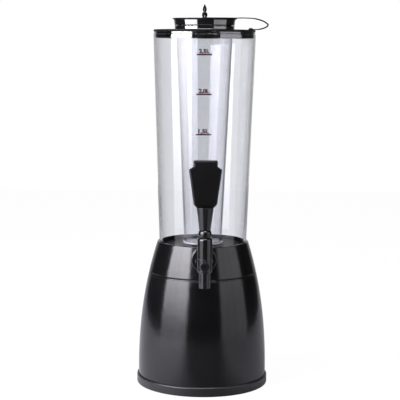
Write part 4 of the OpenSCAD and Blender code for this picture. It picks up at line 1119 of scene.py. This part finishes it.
ice_outline = softened([
    [0, ICE_FOOT], [ICE_RING - 0.6, ICE_FOOT], [ICE_RING, ICE_FOOT + 0.6], [ICE_RING, ICE_FLOOR],
    [ice_radius(ICE_FOOT + 3), ICE_FOOT + 3], [ICE_TOP_RADIUS, NECK_TOP],
    [ICE_FLANGE, NECK_TOP], [ICE_FLANGE, ICE_TOP], [ICE_TOP_RADIUS - ICE_WALL, ICE_TOP],
    [ice_radius(ICE_FLOOR) - ICE_WALL, ICE_FLOOR], [0, ICE_FLOOR]],
    [0, 0.3, 0.3, 0.4, 0.8, 0.2, 0.3, 0.5, 0.4, 1.4, 0], 5)
ice_wall = solid("ice_wall", [turned(ice_outline, 320)])
clear_ice = clear("clear_ice_acrylic", (0.92, 0.925, 0.945))
place_piece(ice_wall, "lid_set", "ice_tube", clear_ice)
second_finish(ice_wall, frosted("frosted_foot_acrylic", (0.93, 0.935, 0.95)),
              lambda x, y, z: z < ICE_FLOOR + 0.3)

# ---- Ice cap and its seal ----
# A shallow black cap with a flared rim and a dished top, glossy on its side and dull on its
# rim. Its plug goes into the ice tube, with an O-ring of pale silicone round it.
CAP_LOW = 502.2
CAP_TOP = 511.8
DISH = 511.0
PLUG_LOW = 494.2
PLUG_RADIUS = 37.02
PLUG_WALL = 2.4
GROOVE_LOW, GROOVE_TOP, GROOVE_DEEP = 498.7, 500.5, 1.1
CAP_FOOT_RADIUS, CAP_NECK_RADIUS = 41.6, 42.7
CAP_RADIUS, CAP_LIP = 44.6, 1.2
CAP_FLOOR = 2.5
PEG_HOLE = 2.05
RIM_LINE = 509.3

cap_outline = softened([
    [PLUG_RADIUS - PLUG_WALL, PLUG_LOW], [PLUG_RADIUS - 0.6, PLUG_LOW],
    [PLUG_RADIUS, PLUG_LOW + 0.6], [PLUG_RADIUS, GROOVE_LOW],
    [PLUG_RADIUS - GROOVE_DEEP, GROOVE_LOW], [PLUG_RADIUS - GROOVE_DEEP, GROOVE_TOP],
    [PLUG_RADIUS, GROOVE_TOP], [PLUG_RADIUS, CAP_LOW], [CAP_FOOT_RADIUS, CAP_LOW],
    [42.53, RIM_LINE], [CAP_NECK_RADIUS, CAP_TOP - CAP_LIP], [CAP_RADIUS, CAP_TOP - CAP_LIP],
    [CAP_RADIUS, CAP_TOP], [41.7, CAP_TOP], [40.9, DISH], [PEG_HOLE, DISH],
    [PEG_HOLE, DISH - CAP_FLOOR], [PLUG_RADIUS - PLUG_WALL, DISH - CAP_FLOOR]],
    [0.3, 0.3, 0.3, 0.1, 0.05, 0.05, 0.1, 0.2, 0.4, 0, 0.25, 0.35, 0.5, 0.4, 0.4, 0.1, 0.1,
     0.5], 5)
shallow_cap = solid("shallow_cap", [turned(cap_outline, 300)])
place_piece(shallow_cap, "cap_set", "ice_cap", lid_black)
second_finish(shallow_cap, rim_black,
              lambda x, y, z: (z > RIM_LINE) | (np.hypot(x, y) < PLUG_RADIUS + 0.1))
dress("cap_seal", pale_silicone)

# ---- Barbed peg ----
# A split peg in flexible black plastic stands in the middle of the cap: two lobes, a waist and
# a leaf-shaped tip, slit so that it snaps through the strap's eye.
PEG_FOOT = 513.55
PEG_TIP = 531.3
PEG_STEM, PEG_HEAD = 2, 4
PEG_HEAD_LOW, PEG_HEAD_TOP = 507.2, 508.5
LOBE_TOP = PEG_FOOT + (PEG_TIP - PEG_FOOT) * 0.36
WAIST = 1.2
LOBE_SLIT, LEAF_SLIT = 0.3, 0.13

strap_black = moulded("strap_black_plastic", (0.003, 0.003, 0.0035), 0.5, 0.35, 1.2, bend=1.17)
lobe_turn = np.linspace(0, np.pi, 16)[:-1]
leaf_share = np.linspace(0.06, 0.97, 22)
peg_outline = np.concatenate([
    [[0, PEG_HEAD_LOW], [PEG_HEAD, PEG_HEAD_LOW], [PEG_HEAD, PEG_HEAD_TOP],
     [PEG_STEM, PEG_HEAD_TOP], [PEG_STEM, PEG_FOOT]],
    np.column_stack([2.2 + 1.6 * np.sin(lobe_turn),
                     PEG_FOOT + (LOBE_TOP - PEG_FOOT) * (1 - np.cos(lobe_turn)) / 2]),
    [[WAIST, LOBE_TOP + 0.3]],
    np.column_stack([WAIST + 1.95 * np.sin(np.pi * leaf_share ** 0.75) - leaf_share,
                     LOBE_TOP + (PEG_TIP - LOBE_TOP) * leaf_share]),
    [[0, PEG_TIP]]])
split_peg = carved("split_peg", [turned(peg_outline, 64)], [
    ("DIFFERENCE", [box_shape((-LOBE_SLIT, -5, PEG_FOOT), (LOBE_SLIT, 5, PEG_FOOT + 2.4))]),
    ("DIFFERENCE", [box_shape((-LEAF_SLIT, -5, LOBE_TOP + 0.6),
                              (LEAF_SLIT, 5, LOBE_TOP + 5.6))])])
place_piece(split_peg, "cap_set", "cap_peg", strap_black)

# ---- Tether strap and its pin ----
# A thin flat strap of the same plastic ties the cap to the lid. It lies over the cap, bends
# round in a loop at the right, and a small pin holds its eye on the lid.
STRAP_WIDE, STRAP_THICK = 3.0, 1.4
LOOP_THICK = 1.85
EYE_BAND = 1.7
PEG_EYE, PEG_EYE_ENDS, PEG_EYE_CUT = 2.1, (511.05, 513.45), (509, 515)
PIN_EYE, PIN_EYE_ENDS, PIN_EYE_CUT = 1.6, (496.25, 497.95), (493.5, 499.5)
PIN_STEM = 1.5
PIN_TIP, PIN_BARB, PIN_HEAD, PIN_TOP = 491.6, 493.1, 498.0, 499.0
strap_route = np.array([
    [2.6, 512.55], [20, 512.55], [42, 512.55], [55, 512.75], [66.8, 512.25], [74.8, 510.75],
    [81.8, 508.35], [86.2, 505.55], [87.8, 503.6], [86.1, 501.05], [81.8, 498.95],
    [76.8, 497.65], [71.3, 497.05], [66.2, 497.05]])


def smooth_route(points, steps):
    """Catmull-Rom: through all points, each span a cubic of its two ends and their neighbours."""
    a, b = np.vstack([points[:1], points[:-2]]), points[:-1]
    c, d = points[1:], np.vstack([points[2:], points[-1:]])
    t = (np.arange(steps) / steps)[None, :, None]
    a, b, c, d = (v[:, None] for v in (a, b, c, d))
    line = 0.5 * (2 * b + (c - a) * t + (2 * a - 5 * b + 4 * c - d) * t ** 2
                  + (3 * b - a - 3 * c + d) * t ** 3)
    return np.vstack([line.reshape(-1, 2), points[-1:]])


def strap_grid():
    """The rounded rectangle of the strap carried along its route in the X-Z plane: a section
    point (s, n) goes to route + n times the route's normal, and s along Y. The free loop is a
    little thicker than the ends that lie on the cap and the lid."""
    line = smooth_route(strap_route, 10)
    along = np.gradient(line, axis=0)
    share = np.linspace(0, 1, len(line))
    swell = np.clip(np.minimum(share - 0.3, 0.9 - share) / 0.06, 0, 1)[:, None]
    normal = np.column_stack([-along[:, 1], along[:, 0]]) / np.linalg.norm(along, axis=1)[:, None]
    half, thick = STRAP_WIDE / 2, STRAP_THICK / 2
    section = softened([[-half, -thick], [half, -thick], [half, thick], [-half, thick]], 0.4, 5)
    s, n = section[:, 0], section[:, 1]
    n = n * (1 + (LOOP_THICK / STRAP_THICK - 1) * swell)
    x = line[:, :1] + normal[:, :1] * n
    z = line[:, 1:] + normal[:, 1:] * n
    return closed_ends(np.stack([x, s + 0 * x, z], -1))


def eye_shape(hole, low, high, place=(0, 0)):
    """A flat ring with rounded edges."""
    outline = [[hole, low], [hole + EYE_BAND, low], [hole + EYE_BAND, high], [hole, high]]
    return turned(softened(outline, [0.15, 0.5, 0.5, 0.3]), 64, place)


flat_strap = carved("flat_strap", [strap_grid()], [
    ("UNION", [eye_shape(PEG_EYE, *PEG_EYE_ENDS)]),
    ("UNION", [eye_shape(PIN_EYE, *PIN_EYE_ENDS, PIN_PLACE)]),
    ("DIFFERENCE", [rod(PEG_EYE, *PEG_EYE_CUT)]),
    ("DIFFERENCE", [rod(PIN_EYE, *PIN_EYE_CUT, PIN_PLACE)])])
stand_in(flat_strap, "tether_strap", strap_black)
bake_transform(flat_strap)

pin_outline = softened([
    [0, PIN_TIP], [1.2, PIN_TIP], [2.1, PIN_BARB], [PIN_STEM, PIN_BARB + 0.05],
    [PIN_STEM, PIN_HEAD], [2.9, PIN_HEAD], [2.2, PIN_TOP], [0, PIN_TOP]],
    [0, 0.2, 0.1, 0, 0, 0.2, 0.5, 0])
snap_pin = solid("snap_pin", [turned(pin_outline, 64, PIN_PLACE)])
place_piece(snap_pin, "lid_set", "strap_pin", strap_black)
